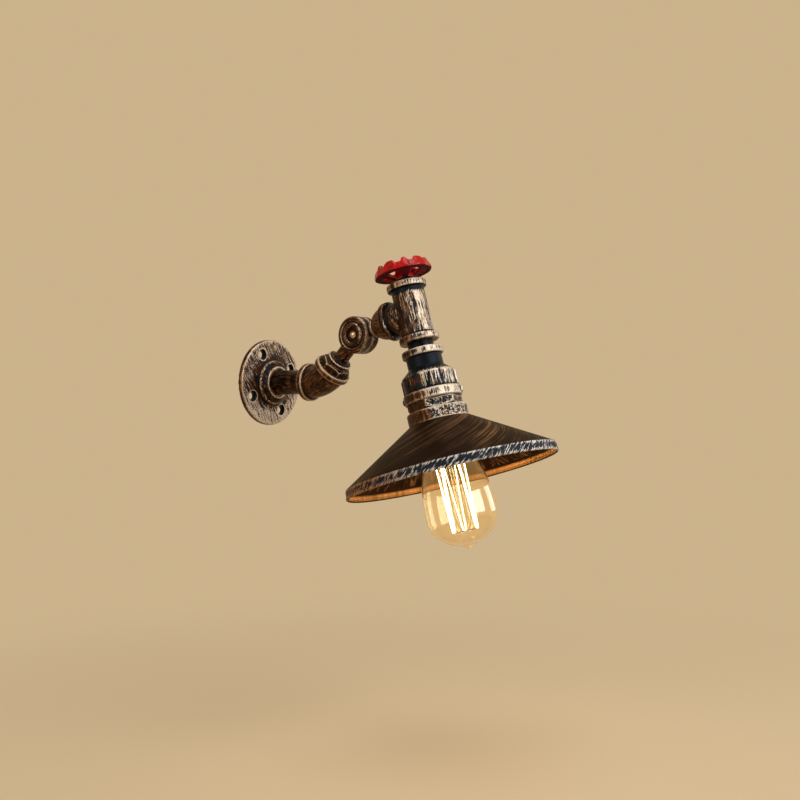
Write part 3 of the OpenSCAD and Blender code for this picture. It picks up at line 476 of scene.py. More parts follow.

# raised, edge, streaks, specks, brushed and pale say where pale metal lies, brushed also painting
# the side turned to the light paler, and brown, copper and cream set the tones; a mark is a
# measure, from, to, soft edge and how much paler
castings = [
    {"name": "flangeCasting", "node": "wall_flange", "body": "wall_arm", "slot": "pale_bronze",
     "frame": flatTurn, "voxel": 0.55, "soften": 8, "raised": 0.22, "edge": 0.25,
     "streaks": 3.60, "specks": 1.20, "brushedAndLit": 0.50, "pale": 0.20,
     "brown": 0.70, "copper": 0.15, "cream": -0.15, "rough": 0.36,
     "holes": {"count": 4, "circle": 27.5, "radius": 3.5, "first": 26,
               "sunk": 4.8, "slope": 0.9, "still": 2.0, "fade": 2.5},
     "boss": ((12.0, 3.0), (19.6, 3.0), (19.6, 8.2), (18.8, 9.4), (15.3, 12.4), (12.0, 12.4)),
     # the marks paint shade up the hub's side, round its foot and mouth and on the flange's edge,
     # and make the lower part paler
     "marks": (("height", 5.9, 7.6, 0.4, -0.8), ("height", 10.0, 12.8, 0.4, -1.0),
               ("radius", 37.6, 40.0, 0.4, -1.0), ("radius", 18.0, 26.0, 0.4, -0.3),
               ("radius", 9.0, 12.6, 0.4, -1.0), ("across", -80.0, -16.0, 12.0, 0.32))},
    {"name": "elbowCasting", "node": "elbow", "body": "wall_arm", "slot": "aged_bronze",
     "frame": legFrame, "voxel": 0.5, "soften": 8, "raised": 0.12, "edge": 0.80,
     "streaks": 1.80, "specks": 0.50, "brushedAndLit": 0.30, "pale": -0.08,
     "brown": 0.55, "copper": 0.22, "cream": -0.35, "rough": 0.33},
    {"name": "elbowBushCasting", "node": "elbow_bush", "body": "wall_arm", "slot": "aged_bronze",
     "frame": legFrame, "voxel": 0.4, "soften": 6, "raised": 0.10, "edge": 0.65,
     "streaks": 1.40, "specks": 0.40, "brushedAndLit": 0.30, "pale": -0.12,
     "brown": 0.30, "copper": 0.05, "cream": -0.30, "rough": 0.33},
    {"name": "lowerKnuckleCasting", "node": "knuckle_base", "body": "wall_arm",
     "slot": "aged_bronze",
     "frame": branchFrame, "voxel": 0.36, "soften": 12, "raised": 0.12, "edge": 1.10,
     "streaks": 1.60, "specks": 0.50, "brushedAndLit": 0.40, "pale": 0.00,
     "brown": 0.50, "copper": 0.15, "cream": -0.15, "rough": 0.3},
    {"name": "upperKnuckleCasting", "node": "knuckle_arm", "body": "lamp_head",
     "slot": "aged_bronze",
     "frame": branchFrame, "voxel": 0.36, "soften": 12, "raised": 0.12, "edge": 1.10,
     "streaks": 1.60, "specks": 0.50, "brushedAndLit": 0.40, "pale": 0.00,
     "brown": 0.45, "copper": 0.18, "cream": -0.15, "rough": 0.3},
    {"name": "branchBushCasting", "node": "branch_bush", "body": "lamp_head",
     "slot": "aged_bronze",
     "frame": branchFrame, "voxel": 0.45, "soften": 6, "raised": 0.08, "edge": 0.70,
     "streaks": 1.60, "specks": 0.40, "brushedAndLit": 0.30, "pale": 0.00,
     "brown": 0.60, "copper": 0.32, "cream": -0.40, "rough": 0.32},
    {"name": "teeCasting", "node": "tee", "body": "lamp_head", "slot": "aged_bronze",
     "frame": runFrame, "voxel": 0.5, "soften": 8, "raised": 0.30, "edge": 0.30,
     "streaks": 5.40, "specks": 1.10, "brushedAndLit": 0.62, "pale": 0.12,
     "brown": 0.22, "copper": 0.15, "cream": -0.14, "rough": 0.34,
     "shadedSide": (-16.0, -12.0), "bare": ((-20.2, -15.4), (18.6, 20.0)),
     "columns": 3.7, "columnTurn": 0.75},
    {"name": "reducerCasting", "node": "reducer", "body": "lamp_head", "slot": "dark_bronze",
     "frame": runFrame, "voxel": 0.6, "soften": 8, "raised": 0.26, "edge": 0.30,
     "streaks": 3.80, "specks": 0.70, "brushedAndLit": 0.65, "pale": 0.14,
     "brown": 0.00, "copper": 0.00, "cream": 0.00, "rough": 0.36,
     "bare": ((37.8, 51.5),), "columns": 2.0, "columnTurn": 0.0},
    {"name": "plugCasting", "node": "hex_plug", "body": "lamp_head", "slot": "pale_bronze",
     "frame": runFrame, "voxel": 0.5, "soften": 6, "raised": 0.15, "edge": 0.40,
     "streaks": 1.40, "specks": 3.00, "brushedAndLit": 0.90, "pale": -0.02,
     "brown": 0.25, "copper": 0.12, "cream": 0.00, "rough": 0.38},
    {"name": "collarCasting", "node": "shade_collar", "body": "lamp_head", "slot": "pale_bronze",
     "frame": runFrame, "voxel": 0.5, "soften": 8, "raised": 0.12, "edge": 0.35,
     "streaks": 1.00, "specks": 3.60, "brushedAndLit": 1.00, "pale": 0.08,
     "brown": 0.30, "copper": 0.20, "cream": -0.05, "rough": 0.4},
]
for casting in castings:
    skin = looseCopy(casting["name"], casting["node"])
    if "boss" in casting:  # the hub swells at its foot
        joinMeshes(skin, lathe(casting["name"] + "Boss", casting["boss"], wallFrame, segments=96))
    softenSkin(skin, casting["voxel"], casting["soften"], broad=60)
    if "holes" in casting:
        sinkHoles(skin, casting["holes"])
    finish = castMaterial(casting["name"] + "Finish", casting)
    setPiece(skin, casting["body"], casting["node"], finish)
print("castings skinned:", len(castings))


# pipes, small metal pieces and insulators keep their shape and get a finish

pipeFinishes = {
    "blackPipe": {"local": wallFrame, "rough": 0.36,
                  "colour": (0.008, 0.005, 0.004, 1), "warm": (0.15, 0.068, 0.028, 1)},
    "blackNipple": {"local": runFrame, "rough": 0.42,
                    "colour": (0.0035, 0.0045, 0.0065, 1), "warm": (0.02, 0.022, 0.026, 1)},
}
plainFinishes = {
    "brightScrew": {"metal": 0.95, "rough": 0.26,
                    "colour": (0.62, 0.50, 0.36, 1), "other": (0.34, 0.22, 0.12, 1)},
    "plainSteel": {"metal": 1.0, "rough": 0.3,
                   "colour": (0.42, 0.42, 0.43, 1), "other": (0.30, 0.29, 0.28, 1)},
    "dullBrass": {"metal": 1.0, "rough": 0.3,
                  "colour": (0.62, 0.42, 0.16, 1), "other": (0.44, 0.28, 0.10, 1)},
    "porcelain": {"metal": 0.0, "rough": 0.28,
                  "colour": (0.80, 0.77, 0.70, 1), "other": (0.72, 0.68, 0.60, 1)},
    "blackPlastic": {"metal": 0.0, "rough": 0.42,
                     "colour": (0.016, 0.015, 0.014, 1), "other": (0.026, 0.024, 0.022, 1)},
    "fibreBoard": {"metal": 0.0, "rough": 0.7, "grain": 2.5, "depth": 0.1,
                   "colour": (0.26, 0.10, 0.045, 1), "other": (0.18, 0.07, 0.03, 1)},
}
keptNodes = {
    "wall_nipple": "blackPipe", "tee_nipple": "blackNipple", "valve_bonnet": "blackNipple",
    "pivot_screw": "brightScrew", "pivot_nut": "brightScrew", "spring_washer": "plainSteel",
    "friction_washer": "fibreBoard", "lamp_rod": "plainSteel", "rod_nut": "plainSteel",
    "shade_ring": "blackPlastic", "lampholder": "porcelain", "screw_shell": "dullBrass",
    "centre_contact": "dullBrass", "cap_insulator": "blackPlastic", "cap_contact": "plainSteel",
    "filament_supports": "plainSteel", "switch_body": "blackPlastic", "valve_stem": "plainSteel",
}


def pipeMaterial(name, local, colour, warm, rough):
    mat, tree, shader = newMaterial(name, metal=0.85, gloss=0.08)
    streaks = noise(tree, localCoords(tree, local, (1.0, 1.0, 0.25)),
                    scale=0.6, detail=5.0, rough=0.65, warp=0.3)
    blotches = noise(tree, localCoords(tree, local), scale=0.1, detail=3.0)
    share = between(tree, addUp(tree, (streaks, 2.8), (blotches, 2.2)), -0.2, 0.9)
    feed(tree, mixColours(tree, share, colour, warm), shader.inputs["Base Color"])
    feed(tree, addUp(tree, (streaks, 0.4), (1.0, rough)), shader.inputs["Roughness"])
    addBump(tree, shader, streaks, strength=0.4, reach=0.2 * mm)
    return mat


def plainMaterial(name, colour, other, metal, rough, grain=1.2, depth=0.05):
    mat, tree, shader = newMaterial(name, metal)
    plain = localCoords(tree, runFrame)
    cloud = noise(tree, plain, scale=0.2, detail=4.0)
    fine = noise(tree, plain, scale=grain, detail=4.0, rough=0.6)
    feed(tree, mixColours(tree, between(tree, cloud, -0.2, 0.2), colour, other),
         shader.inputs["Base Color"])
    feed(tree, addUp(tree, (fine, 0.3), (1.0, rough)), shader.inputs["Roughness"])
    addBump(tree, shader, fine, strength=0.3, reach=depth * mm)
    return mat


finishes = {name: pipeMaterial(name, **cfg) for name, cfg in pipeFinishes.items()}
finishes.update({name: plainMaterial(name, **cfg) for name, cfg in plainFinishes.items()})
for nodeName, finishName in keptNodes.items():
    kept = nodes[nodeName].data.materials
    kept.clear()
    kept.append(finishes[finishName])
print("plain nodes finished:", len(keptNodes))


# node-built shapes: a tree with named inputs, run once and kept as a plain mesh

def startShape(name, inputs):
    tree = bpy.data.node_groups.new(name, "GeometryNodeTree")
    face = tree.interface
    face.new_socket("Geometry", in_out="INPUT", socket_type="NodeSocketGeometry")
    for label, value in inputs.items():
        made = face.new_socket(label, in_out="INPUT", socket_type="NodeSocketFloat")
        made.default_value = value
    face.new_socket("Material", in_out="INPUT", socket_type="NodeSocketMaterial")
    face.new_socket("Geometry", in_out="OUTPUT", socket_type="NodeSocketGeometry")
    return tree, addNode(tree, "NodeGroupInput").outputs


def endShape(tree, geometry, given):
    smooth = addNode(tree, "GeometryNodeSetShadeSmooth", {"Geometry": geometry})
    real = addNode(tree, "GeometryNodeRealizeInstances", {"Geometry": smooth.outputs[0]})
    dressed = addNode(tree, "GeometryNodeSetMaterial",
                      {"Geometry": real.outputs[0], "Material": given["Material"]})
    out = addNode(tree, "NodeGroupOutput")
    tree.links.new(dressed.outputs[0], out.inputs[0])


def runShape(name, tree, values, material, mesh=None):
    piece = addObject(name, mesh or bpy.data.meshes.new(name))
    maker = piece.modifiers.new("maker", "NODES")
    maker.node_group = tree
    wanted = dict(values, Material=material)
    for item in tree.interface.items_tree:
        if item.item_type == "SOCKET" and item.in_out == "INPUT" and item.name in wanted:
            maker[item.identifier] = wanted[item.name]
    bakeModifiers(piece)
    return piece


# valve wheel: the waved rim follows a rule of lobes and knobs, and grows into the dished web

valveWheel = {
    "rim": {"Edge Radius": 24.2, "Wall": 3.2, "Foot": 33.0, "Low Height": 6.4, "Wave": 3.1,
            "Bulge": 0.5, "Lean": 24.0, "Lobes": 5.0, "First Lobe": 42.5,
            # degrees from the middle of a hump to the end of its top and of its foot
            "Lobe Top": 6.0, "Lobe Foot": 17.0, "Knob Top": 2.5, "Knob Foot": 10.0},
    "around": 481, "across": 33,  # points of the rim's grid
    "skin": {"voxel": 0.36, "soften": 14, "broad": 40},
    "nutSkin": {"voxel": 0.25, "soften": 4, "broad": 30},
    "deep": (0.22, 0.0016, 0.0034, 1), "fresh": (0.42, 0.004, 0.007, 1),
    # the last red is painted shade, put on the underside and in the hollows
    "hollow": (0.070, 0.0010, 0.0020, 1),
    "gloss": 0.19, "rough": 0.83, "polish": -0.72,  # polished but for the underside
}


def enamelMaterial(name, cfg):
    mat, tree, shader = newMaterial(name, metal=0.0, gloss=cfg["gloss"])
    plain = localCoords(tree, runFrame)
    peel = noise(tree, plain, scale=0.6, detail=2.0, rough=0.5)
    cloud = noise(tree, plain, scale=0.14, detail=3.0)
    # painted shade: points turned down the run, and hollows, take the darkest red
    outside = between(tree, attribute(tree, "under"), 0.2, 0.75, 1.0, 0.0)
    hollow = times(tree, between(tree, attribute(tree, "raised"), -1.6, 0.4), outside)
    base = mixColours(tree, between(tree, cloud, -0.2, 0.2), cfg["deep"], cfg["fresh"])
    feed(tree, mixColours(tree, hollow, cfg["hollow"], base), shader.inputs["Base Color"])
    feed(tree, addUp(tree, (cloud, 0.15), (outside, cfg["polish"]), (1.0, cfg["rough"])),
         shader.inputs["Roughness"])
    addBump(tree, shader, peel, strength=0.3, reach=0.25 * mm)
    return mat


def rimShape(cfg):
    tree, given = startShape("wavedRim", cfg["rim"])

    def op(operation, a, b=0.0, c=0.0):
        return addNode(tree, "ShaderNodeMath", {0: a, 1: b, 2: c}, operation=operation).outputs[0]

    def hump(turn, shift, top, foot):
        # one at the middle of a hump, falling to nothing beside it; angles in degrees
        share = op("FRACT", op("DIVIDE", op("SUBTRACT", turn, shift), sector))
        aside = op("MULTIPLY", op("ABSOLUTE", op("SUBTRACT", share, 0.5)), sector)
        aside = op("SUBTRACT", op("MULTIPLY", sector, 0.5), aside)
        return between(tree, aside, top, foot, 1.0, 0.0)

    def squared(value):  # a round section with flatter sides
        return op("MULTIPLY", op("SIGN", value), op("POWER", op("ABSOLUTE", value), 0.5))

    grid = addNode(tree, "GeometryNodeMeshGrid", {
        "Size X": 1.0, "Size Y": 1.0, "Vertices X": cfg["around"], "Vertices Y": cfg["across"]})
    position = addNode(tree, "GeometryNodeInputPosition").outputs[0]
    place = addNode(tree, "ShaderNodeSeparateXYZ", {0: position}).outputs
    turn = op("MULTIPLY", op("ADD", place[0], 0.5), 360.0)
    angle = op("RADIANS", turn)
    around = op("MULTIPLY", op("ADD", place[1], 0.5), 2 * math.pi)
    sector = op("DIVIDE", 360.0, given["Lobes"])
    firstKnob = op("ADD", given["First Lobe"], op("MULTIPLY", sector, 0.5))
    lobe = hump(turn, given["First Lobe"], given["Lobe Top"], given["Lobe Foot"])
    knob = hump(turn, firstKnob, given["Knob Top"], given["Knob Foot"])
    rise = op("MAXIMUM", lobe, knob)
    half = op("MULTIPLY", op("MULTIPLY_ADD", rise, given["Wave"], given["Low Height"]), 0.5)
    up = op("MULTIPLY", op("ADD", squared(op("SINE", around)), 1.0), half)
    thick = op("MULTIPLY_ADD", rise, given["Bulge"], given["Wall"])
    out = op("MULTIPLY", op("ADD", squared(op("COSINE", around)), 1.0), op("MULTIPLY", thick, 0.5))
    out = op("SUBTRACT", out, given["Wall"])
    lean = op("RADIANS", given["Lean"])
    radius = op("ADD", given["Edge Radius"], op("DIVIDE", out, op("COSINE", lean)))
    radius = op("SUBTRACT", radius, op("MULTIPLY", up, op("TANGENT", lean)))
    spot = addNode(tree, "ShaderNodeCombineXYZ", {
        0: op("MULTIPLY", radius, op("COSINE", angle)),
        1: op("MULTIPLY", radius, op("SINE", angle)), 2: op("ADD", given["Foot"], up)})
    scaled = addNode(tree, "ShaderNodeVectorMath", {0: spot.outputs[0], 1: (mm, mm, mm)},
                     operation="MULTIPLY")
    moved = addNode(tree, "GeometryNodeSetPosition",
                    {"Geometry": grid.outputs[0], "Position": scaled.outputs[0]})
    closed = addNode(tree, "GeometryNodeMergeByDistance",
                     {"Geometry": moved.outputs[0], "Distance": 0.001 * mm})
    endShape(tree, closed.outputs[0], given)
    return tree


redEnamel = enamelMaterial("redEnamel", valveWheel)
rim = runShape("wheelRim", rimShape(valveWheel), valveWheel["rim"], redEnamel)
rim.data.transform(wheelFrame)
wheel = looseCopy("wheelCasting", "handwheel")
joinMeshes(wheel, rim)
softenSkin(wheel, **valveWheel["skin"])
setPiece(wheel, "valve_wheel", "handwheel", redEnamel)
wheelNut = looseCopy("wheelNutCasting", "wheel_nut")
softenSkin(wheelNut, **valveWheel["nutSkin"])
setPiece(wheelNut, "valve_wheel", "wheel_nut", redEnamel)
print("valve wheel made")


# shade: a spun cone with a turned-down lip and a rolled edge

shadeSetup = {
    "top": 92.4, "topRadius": 25.0, "holeRadius": 19.8, "radius": 86.3, "bend": 130.5,
    "rim": 138.2, "sheet": 1.0, "bendRadius": 3.0,
    "rollRadius": 1.3, "rollFrom": -65, "rollTo": 245,
    "coneSteps": 24, "bendSteps": 8, "rollSteps": 20,
    "gloss": 0.03, "rough": 0.46, "bump": 0.5,
    "outside": (0.0085, 0.0036, 0.0016, 1), "outsideStroke": (0.150, 0.072, 0.030, 1),
    "inside": (0.010, 0.0042, 0.0017, 1), "insideStroke": (0.17, 0.078, 0.031, 1),
    "lip": (0.012, 0.0155, 0.022, 1), "lipPale": (0.50, 0.47, 0.43, 1),
    # the inside lip copper is painted bulb light, and the edge colour painted shade on the rolled
    # edge
    "lipCopper": (0.28, 0.130, 0.050, 1), "bulbLitLip": (0.60, 0.285, 0.085, 1),
    "edge": (0.018, 0.0085, 0.0045, 1),
    "spiral": -1.6, "strokes": 30.0, "rays": 34.0,  # marks round the cone, outside and inside
    "dabs": 58.0, "slant": -0.012,  # dabs round the lip
    "lipMiddle": 3.7, "copperTo": -25.0, "silverFrom": 50.0,
}


def shadeOutline(cfg):
    top, radius, sheet = cfg["top"], cfg["radius"], cfg["sheet"]
    bendRadius, roll = cfg["bendRadius"], cfg["rollRadius"]
    slope = math.degrees(math.atan2(cfg["bend"] - top, radius - cfg["topRadius"]))
    bendHeight = cfg["bend"] + bendRadius * math.tan(math.radians(45 - slope / 2))
    bendCentre = (radius - bendRadius, bendHeight)
    rollCentre = (radius - sheet / 2, cfg["rim"] - roll)
    innerTop = cfg["topRadius"] - sheet * math.tan(math.radians(slope / 2))
    outer = arcPoints(bendCentre, bendRadius, slope - 90, 0, cfg["bendSteps"])
    inner = arcPoints(bendCentre, bendRadius - sheet, 0, slope - 90, cfg["bendSteps"])
    cone = linePoints((cfg["topRadius"], top), outer[0], cfg["coneSteps"])[:-1]
    back = linePoints(inner[-1], (innerTop, top + sheet), cfg["coneSteps"])[1:]
    rolled = arcPoints(rollCentre, roll, cfg["rollFrom"], cfg["rollTo"], cfg["rollSteps"])
    return ([(cfg["holeRadius"], top)] + cone + outer + rolled + inner + back
            + [(cfg["holeRadius"], top + sheet)])


def shadeMaterial(name, cfg):
    mat, tree, shader = newMaterial(name, metal=0.0, gloss=cfg["gloss"])
    spot = roundCoords(tree, runFrame)
    radius, turn, height = spot["radius"], spot["turn"], spot["height"]
    top, bend, rim, rimRadius = cfg["top"], cfg["bend"], cfg["rim"], cfg["radius"]
    # brush strokes run round the cone in spirals
    spiral = addUp(tree, (calc(tree, "LOGARITHM", radius, math.e), cfg["spiral"]), (turn, 1.0))
    far = times(tree, radius, 0.022)
    strokes = noise(tree, ringVector(tree, spiral, cfg["strokes"], far),
                    scale=1.0, detail=6.0, rough=0.64, warp=0.3)
    broad = noise(tree, ringVector(tree, spiral, 4.0, far), scale=1.0, detail=3.0, rough=0.5)
    patches = noise(tree, ringVector(tree, turn, 1.5, times(tree, radius, 0.03)),
                    scale=1.0, detail=2.0)
    stroked = addUp(tree, (strokes, 5.0), (broad, 2.4), (patches, 1.4))
    outside = mixColours(tree, between(tree, stroked, -0.1, 1.4),
                         cfg["outside"], cfg["outsideStroke"])
    # strokes on the inside run from the lampholder outwards
    rays = noise(tree, ringVector(tree, turn, cfg["rays"], times(tree, radius, 0.08)),
                 scale=1.0, detail=4.0, rough=0.6)
    rayShare = between(tree, addUp(tree, (rays, 4.0), (patches, 1.0)), -0.1, 0.9)
    inside = mixColours(tree, rayShare, cfg["inside"], cfg["insideStroke"])
    slope = (bend - top) / (rimRadius - cfg["topRadius"])
    fromTop = calc(tree, "SUBTRACT", radius, cfg["topRadius"])
    level = addUp(tree, (fromTop, -slope), (height, 1.0))  # the same all along the sheet
    cone = mixColours(tree, between(tree, level, top + 0.45, top + 0.75), outside, inside)
    # the lip is blue black with slanted dabs; their colour is painted light, pale on the side away
    # from the flange and copper on the flange's side
    slant = addUp(tree, (height, cfg["slant"]), (turn, 1.0))
    dabs = noise(tree, ringVector(tree, slant, cfg["dabs"], times(tree, height, 0.22)),
                 scale=1.0, detail=4.0, rough=0.64)
    fromMiddle = calc(tree, "ABSOLUTE", calc(tree, "SUBTRACT", height, bend + cfg["lipMiddle"]))
    worn = between(tree, fromMiddle, 0.9, cfg["lipMiddle"])
    litSilver = between(tree, spot["across"], cfg["copperTo"], cfg["silverFrom"])
    dabbed = addUp(tree, (dabs, 6.6), (worn, 0.75), (patches, 0.8), (litSilver, -0.22))
    dabColour = mixColours(tree, litSilver, cfg["lipCopper"], cfg["lipPale"])
    lip = mixColours(tree, between(tree, dabbed, 0.1, 0.7), cfg["lip"], dabColour)
    # painted light of the bulb, copper, on the lip's inside, above painted shade on the rolled edge
    bulbLitBand = times(tree, between(tree, height, rim - 6.0, rim - 4.0),
                   between(tree, height, rim - 1.6, rim - 0.6, 1.0, 0.0))
    mottle = addUp(tree, (patches, 1.4), (rays, 0.9), (strokes, 1.2))
    copperShare = times(tree, bulbLitBand, between(tree, mottle, -0.55, 0.35, 0.3, 1.0))
    bulbLitLip = mixColours(tree, copperShare, cfg["edge"], cfg["bulbLitLip"])
    lipFace = mixColours(tree, between(tree, radius, rimRadius - 0.75, rimRadius - 0.35),
                         bulbLitLip, lip)
    onLip = times(tree, between(tree, height, bend - 0.9, bend + 0.9),
                  between(tree, radius, rimRadius - 2.4, rimRadius - 1.6))
    feed(tree, mixColours(tree, onLip, cone, lipFace), shader.inputs["Base Color"])
    feed(tree, addUp(tree, (strokes, 0.3), (1.0, cfg["rough"])), shader.inputs["Roughness"])
    addBump(tree, shader, addUp(tree, (strokes, 1.0), (rays, 0.3)), cfg["bump"], reach=0.3 * mm)
    return mat


shadeCone = lathe("shadeCone", shadeOutline(shadeSetup), runFrame, segments=256)
brushedShade = shadeMaterial("brushedShade", shadeSetup)
setPiece(shadeCone, "lamp_head", "shade", brushedShade)
print("shade turned")


# bulb: blown glass, a stem, a threaded cap and one long filament

bulbShape = {
    "neck": 12.65, "radius": 29.25, "neckTop": 109.5, "capEnd": 112.0, "shoulder": 56.6,
    "end": 25.4, "wall": 0.8, "tipRadius": 3.6, "tipHeight": 2.9, "tipRoot": 0.55,
    "curveSteps": 40, "tipSteps": 12,
    "glass": {"colour": (1.0, 0.92, 0.76, 1), "rough": 0.0, "gloss": 0.35, "glow": 0.03},
}
stemShape = {
    "foot": 109.5, "flare": 11.75, "flareTop": 112.0, "flareBend": 7.6,
    "bead": (1.4, 119.9), "beadRadius": 2.6, "rodRadius": 1.5, "rodTop": 123.0,
    "rodEnd": 181.0, "tip": 180.6, "end": 182.1,
    "glass": {"colour": (0.97, 0.96, 0.92, 1), "rough": 0.01},
}
glassFinish = {  # the same for both glasses
    "Transmission Weight": 1.0, "IOR": 1.45, "Coat IOR": 1.65, "Coat Roughness": 0.05,
    "Emission Color": (1.0, 0.58, 0.20, 1),
}


def bulbCurve(cfg, inset):
    neck, radius, steps = cfg["neck"], cfg["radius"], cfg["curveSteps"]
    widest = cfg["capEnd"] + cfg["shoulder"]
    curve = [(neck - inset, cfg["neckTop"])]
    for i in range(steps):
        share = (i / steps) ** 1.5
        swell = (1 - math.cos(math.pi * math.sqrt(share))) / 2
        curve.append((neck + (radius - neck) * swell - inset,
                      cfg["capEnd"] + cfg["shoulder"] * share))
    for i in range(steps + 1):
        turn = math.pi / 2 * i / steps
        curve.append(((radius - inset) * math.cos(turn),
                      widest + (cfg["end"] - inset) * math.sin(turn)))
    curve[-1] = (0.0, curve[-1][1])
    return curve


def bulbOutline(cfg):
    outer = bulbCurve(cfg, 0.0)
    inner = bulbCurve(cfg, cfg["wall"])
    root = outer[-1][1] - cfg["tipRoot"]
    tip = []  # the sealed tip swells out of the round end
    for i in range(cfg["tipSteps"] + 1):
        turn = math.pi / 2 * i / cfg["tipSteps"]
        tip.append((cfg["tipRadius"] * math.cos(turn),
                    root + (cfg["tipHeight"] + cfg["tipRoot"]) * math.sin(turn)))
    tip[-1] = (0.0, tip[-1][1])
    inside = [(0.8 * r, h - cfg["wall"]) for r, h in tip]  # the glass stays thin at the tip
    beside = cfg["tipRadius"] * 1.25
    return ([p for p in outer if p[0] > beside] + tip + inside[::-1]
            + [p for p in inner[::-1] if p[0] > beside])


def stemOutline(cfg):
    flare, bend, rod = cfg["flare"], cfg["flareBend"], cfg["rodRadius"]
    return ([(0.0, cfg["foot"]), (flare, cfg["foot"]), (flare, cfg["flareTop"])]
            + arcPoints((flare, cfg["flareTop"] + bend), bend, 268, 182, 8)
            + arcPoints(cfg["bead"], cfg["beadRadius"], 0, 60, 5)
            + [(rod, cfg["rodTop"]), (rod, cfg["rodEnd"])]
            + arcPoints((0.0, cfg["tip"]), rod, 12, 80, 5) + [(0.0, cfg["end"])])


def glassMaterial(name, colour, rough, gloss=0.0, glow=0.0):
    mat, tree, shader = newMaterial(name)
    own = {"Base Color": colour, "Coat Weight": gloss, "Emission Strength": glow}
    for label, value in (glassFinish | own).items():
        shader.inputs[label].default_value = value
    waves = noise(tree, localCoords(tree, runFrame), scale=0.05, detail=2.0)
    feed(tree, between(tree, waves, -0.2, 0.2, rough, rough + 0.02), shader.inputs["Roughness"])
    return mat


bulbGlass = lathe("bulbEnvelope", bulbOutline(bulbShape), runFrame, segments=128)
amberGlass = glassMaterial("amberGlass", **bulbShape["glass"])
setPiece(bulbGlass, "lamp_head", "bulb_glass", amberGlass)
bulbStem = lathe("bulbStem", stemOutline(stemShape), runFrame, segments=64)
clearGlass = glassMaterial("clearGlass", **stemShape["glass"])
setPiece(bulbStem, "lamp_head", "bulb_stem", clearGlass)
for glass in (bulbGlass, bulbStem):
    glass.visible_shadow = False  # the filament's light gets out


def strandShape(name, inputs):
    # a wire along a drawn course, with rounded bends
    tree, given = startShape(name, inputs)
    course = addNode(tree, "GeometryNodeMeshToCurve", {"Mesh": given["Geometry"]})
    bent = addNode(tree, "GeometryNodeFilletCurve", {
        "Curve": course.outputs[0], "Count": 6, "Radius": given["Bend"], "Limit Radius": True},
        mode="POLY")
    section = addNode(tree, "GeometryNodeCurvePrimitiveCircle",
                      {"Resolution": 8, "Radius": given["Thickness"]})
    wire = addNode(tree, "GeometryNodeCurveToMesh", {
        "Curve": bent.outputs[0], "Profile Curve": section.outputs[0], "Fill Caps": True})
    endShape(tree, wire.outputs[0], given)
    return tree


def courseMesh(name, points, local):
    mesh = bpy.data.meshes.new(name)
    links = [(i, i + 1) for i in range(len(points) - 1)]
    mesh.from_pydata([local @ (Vector(p) * mm) for p in points], links, [])
    return mesh


filamentShape = {
    "hairpins": 6, "top": 124.0, "end": 182.0, "topRadius": 11.6, "endRadius": 11.0,
    "spread": 6.0, "rise": 0.9, "strand": {"Bend": 0.7 * mm, "Thickness": 0.36 * mm},
    "base": (0.2, 0.15, 0.1, 1), "colour": (1.0, 0.80, 0.46, 1), "strength": 10.0,
}


def filamentCourse(cfg):
    points = []
    for i in range(2 * cfg["hairpins"] - 1):
        upper = i % 2 == 0
        radius = cfg["topRadius"] if upper else cfg["endRadius"]
        for k in (-1, 0, 1):
            turn = math.radians(180 / cfg["hairpins"] * i + k * cfg["spread"])
            back = abs(k) * cfg["rise"]
            points.append((radius * math.cos(turn), radius * math.sin(turn),
                           cfg["top"] + back if upper else cfg["end"] - back))
    return points


def glowMaterial(name, cfg):
    mat, tree, shader = newMaterial(name)
    shimmer = noise(tree, localCoords(tree, runFrame), scale=0.4, detail=2.0)
    shader.inputs["Base Color"].default_value = cfg["base"]
    shader.inputs["Emission Color"].default_value = cfg["colour"]
    strength = addUp(tree, (shimmer, cfg["strength"]), (1.0, cfg["strength"]))
    feed(tree, strength, shader.inputs["Emission Strength"])
    return mat


def makeStrand(name, shapeName, sizes, points, material):
    course = courseMesh(name + "Course", points, runFrame)
    return runShape(name, strandShape(shapeName, sizes), sizes, material, course)


hotFilament = glowMaterial("hotFilament", filamentShape)
filament = makeStrand("filamentStrand", "bentWire", filamentShape["strand"],
                      filamentCourse(filamentShape), hotFilament)
setPiece(filament, "lamp_head", "filament", hotFilament)

capShape = {
    "root": 12.55, "bore": 12.2, "start": 92.5, "end": 112.0, "rim": 0.5, "rimStart": 0.9,
    "pitch": 3.6, "reach": 12.12, "threadStart": 1.4, "threadEnd": 2.2, "stepsPerTurn": 48,
    "thread": {"Bend": 0.0, "Thickness": 0.95 * mm},
}


def capOutline(cfg):
    bore, root, end, rim = cfg["bore"], cfg["root"], cfg["end"], cfg["rim"]
    return [(bore, cfg["start"]), (root, cfg["start"]), (root, end - cfg["rimStart"]),
            (root + rim, end - rim), (root + rim, end), (bore, end)]


def threadCourse(cfg):
    first, last = cfg["start"] + cfg["threadStart"], cfg["end"] - cfg["threadEnd"]
    turns = (last - first) / cfg["pitch"]
    steps = int(turns * cfg["stepsPerTurn"])
    points = []
    for i in range(steps + 1):
        turn = 2 * math.pi * turns * i / steps
        points.append((cfg["reach"] * math.cos(turn), cfg["reach"] * math.sin(turn),
                       first + (last - first) * i / steps))
    return points


cap = lathe("bulbCap", capOutline(capShape), runFrame, segments=96)
thread = makeStrand("capThread", "rolledThread", capShape["thread"],
                    threadCourse(capShape), finishes["dullBrass"])
joinMeshes(cap, thread)
setPiece(cap, "lamp_head", "bulb_cap", finishes["dullBrass"])
print("bulb made")


# floor and light

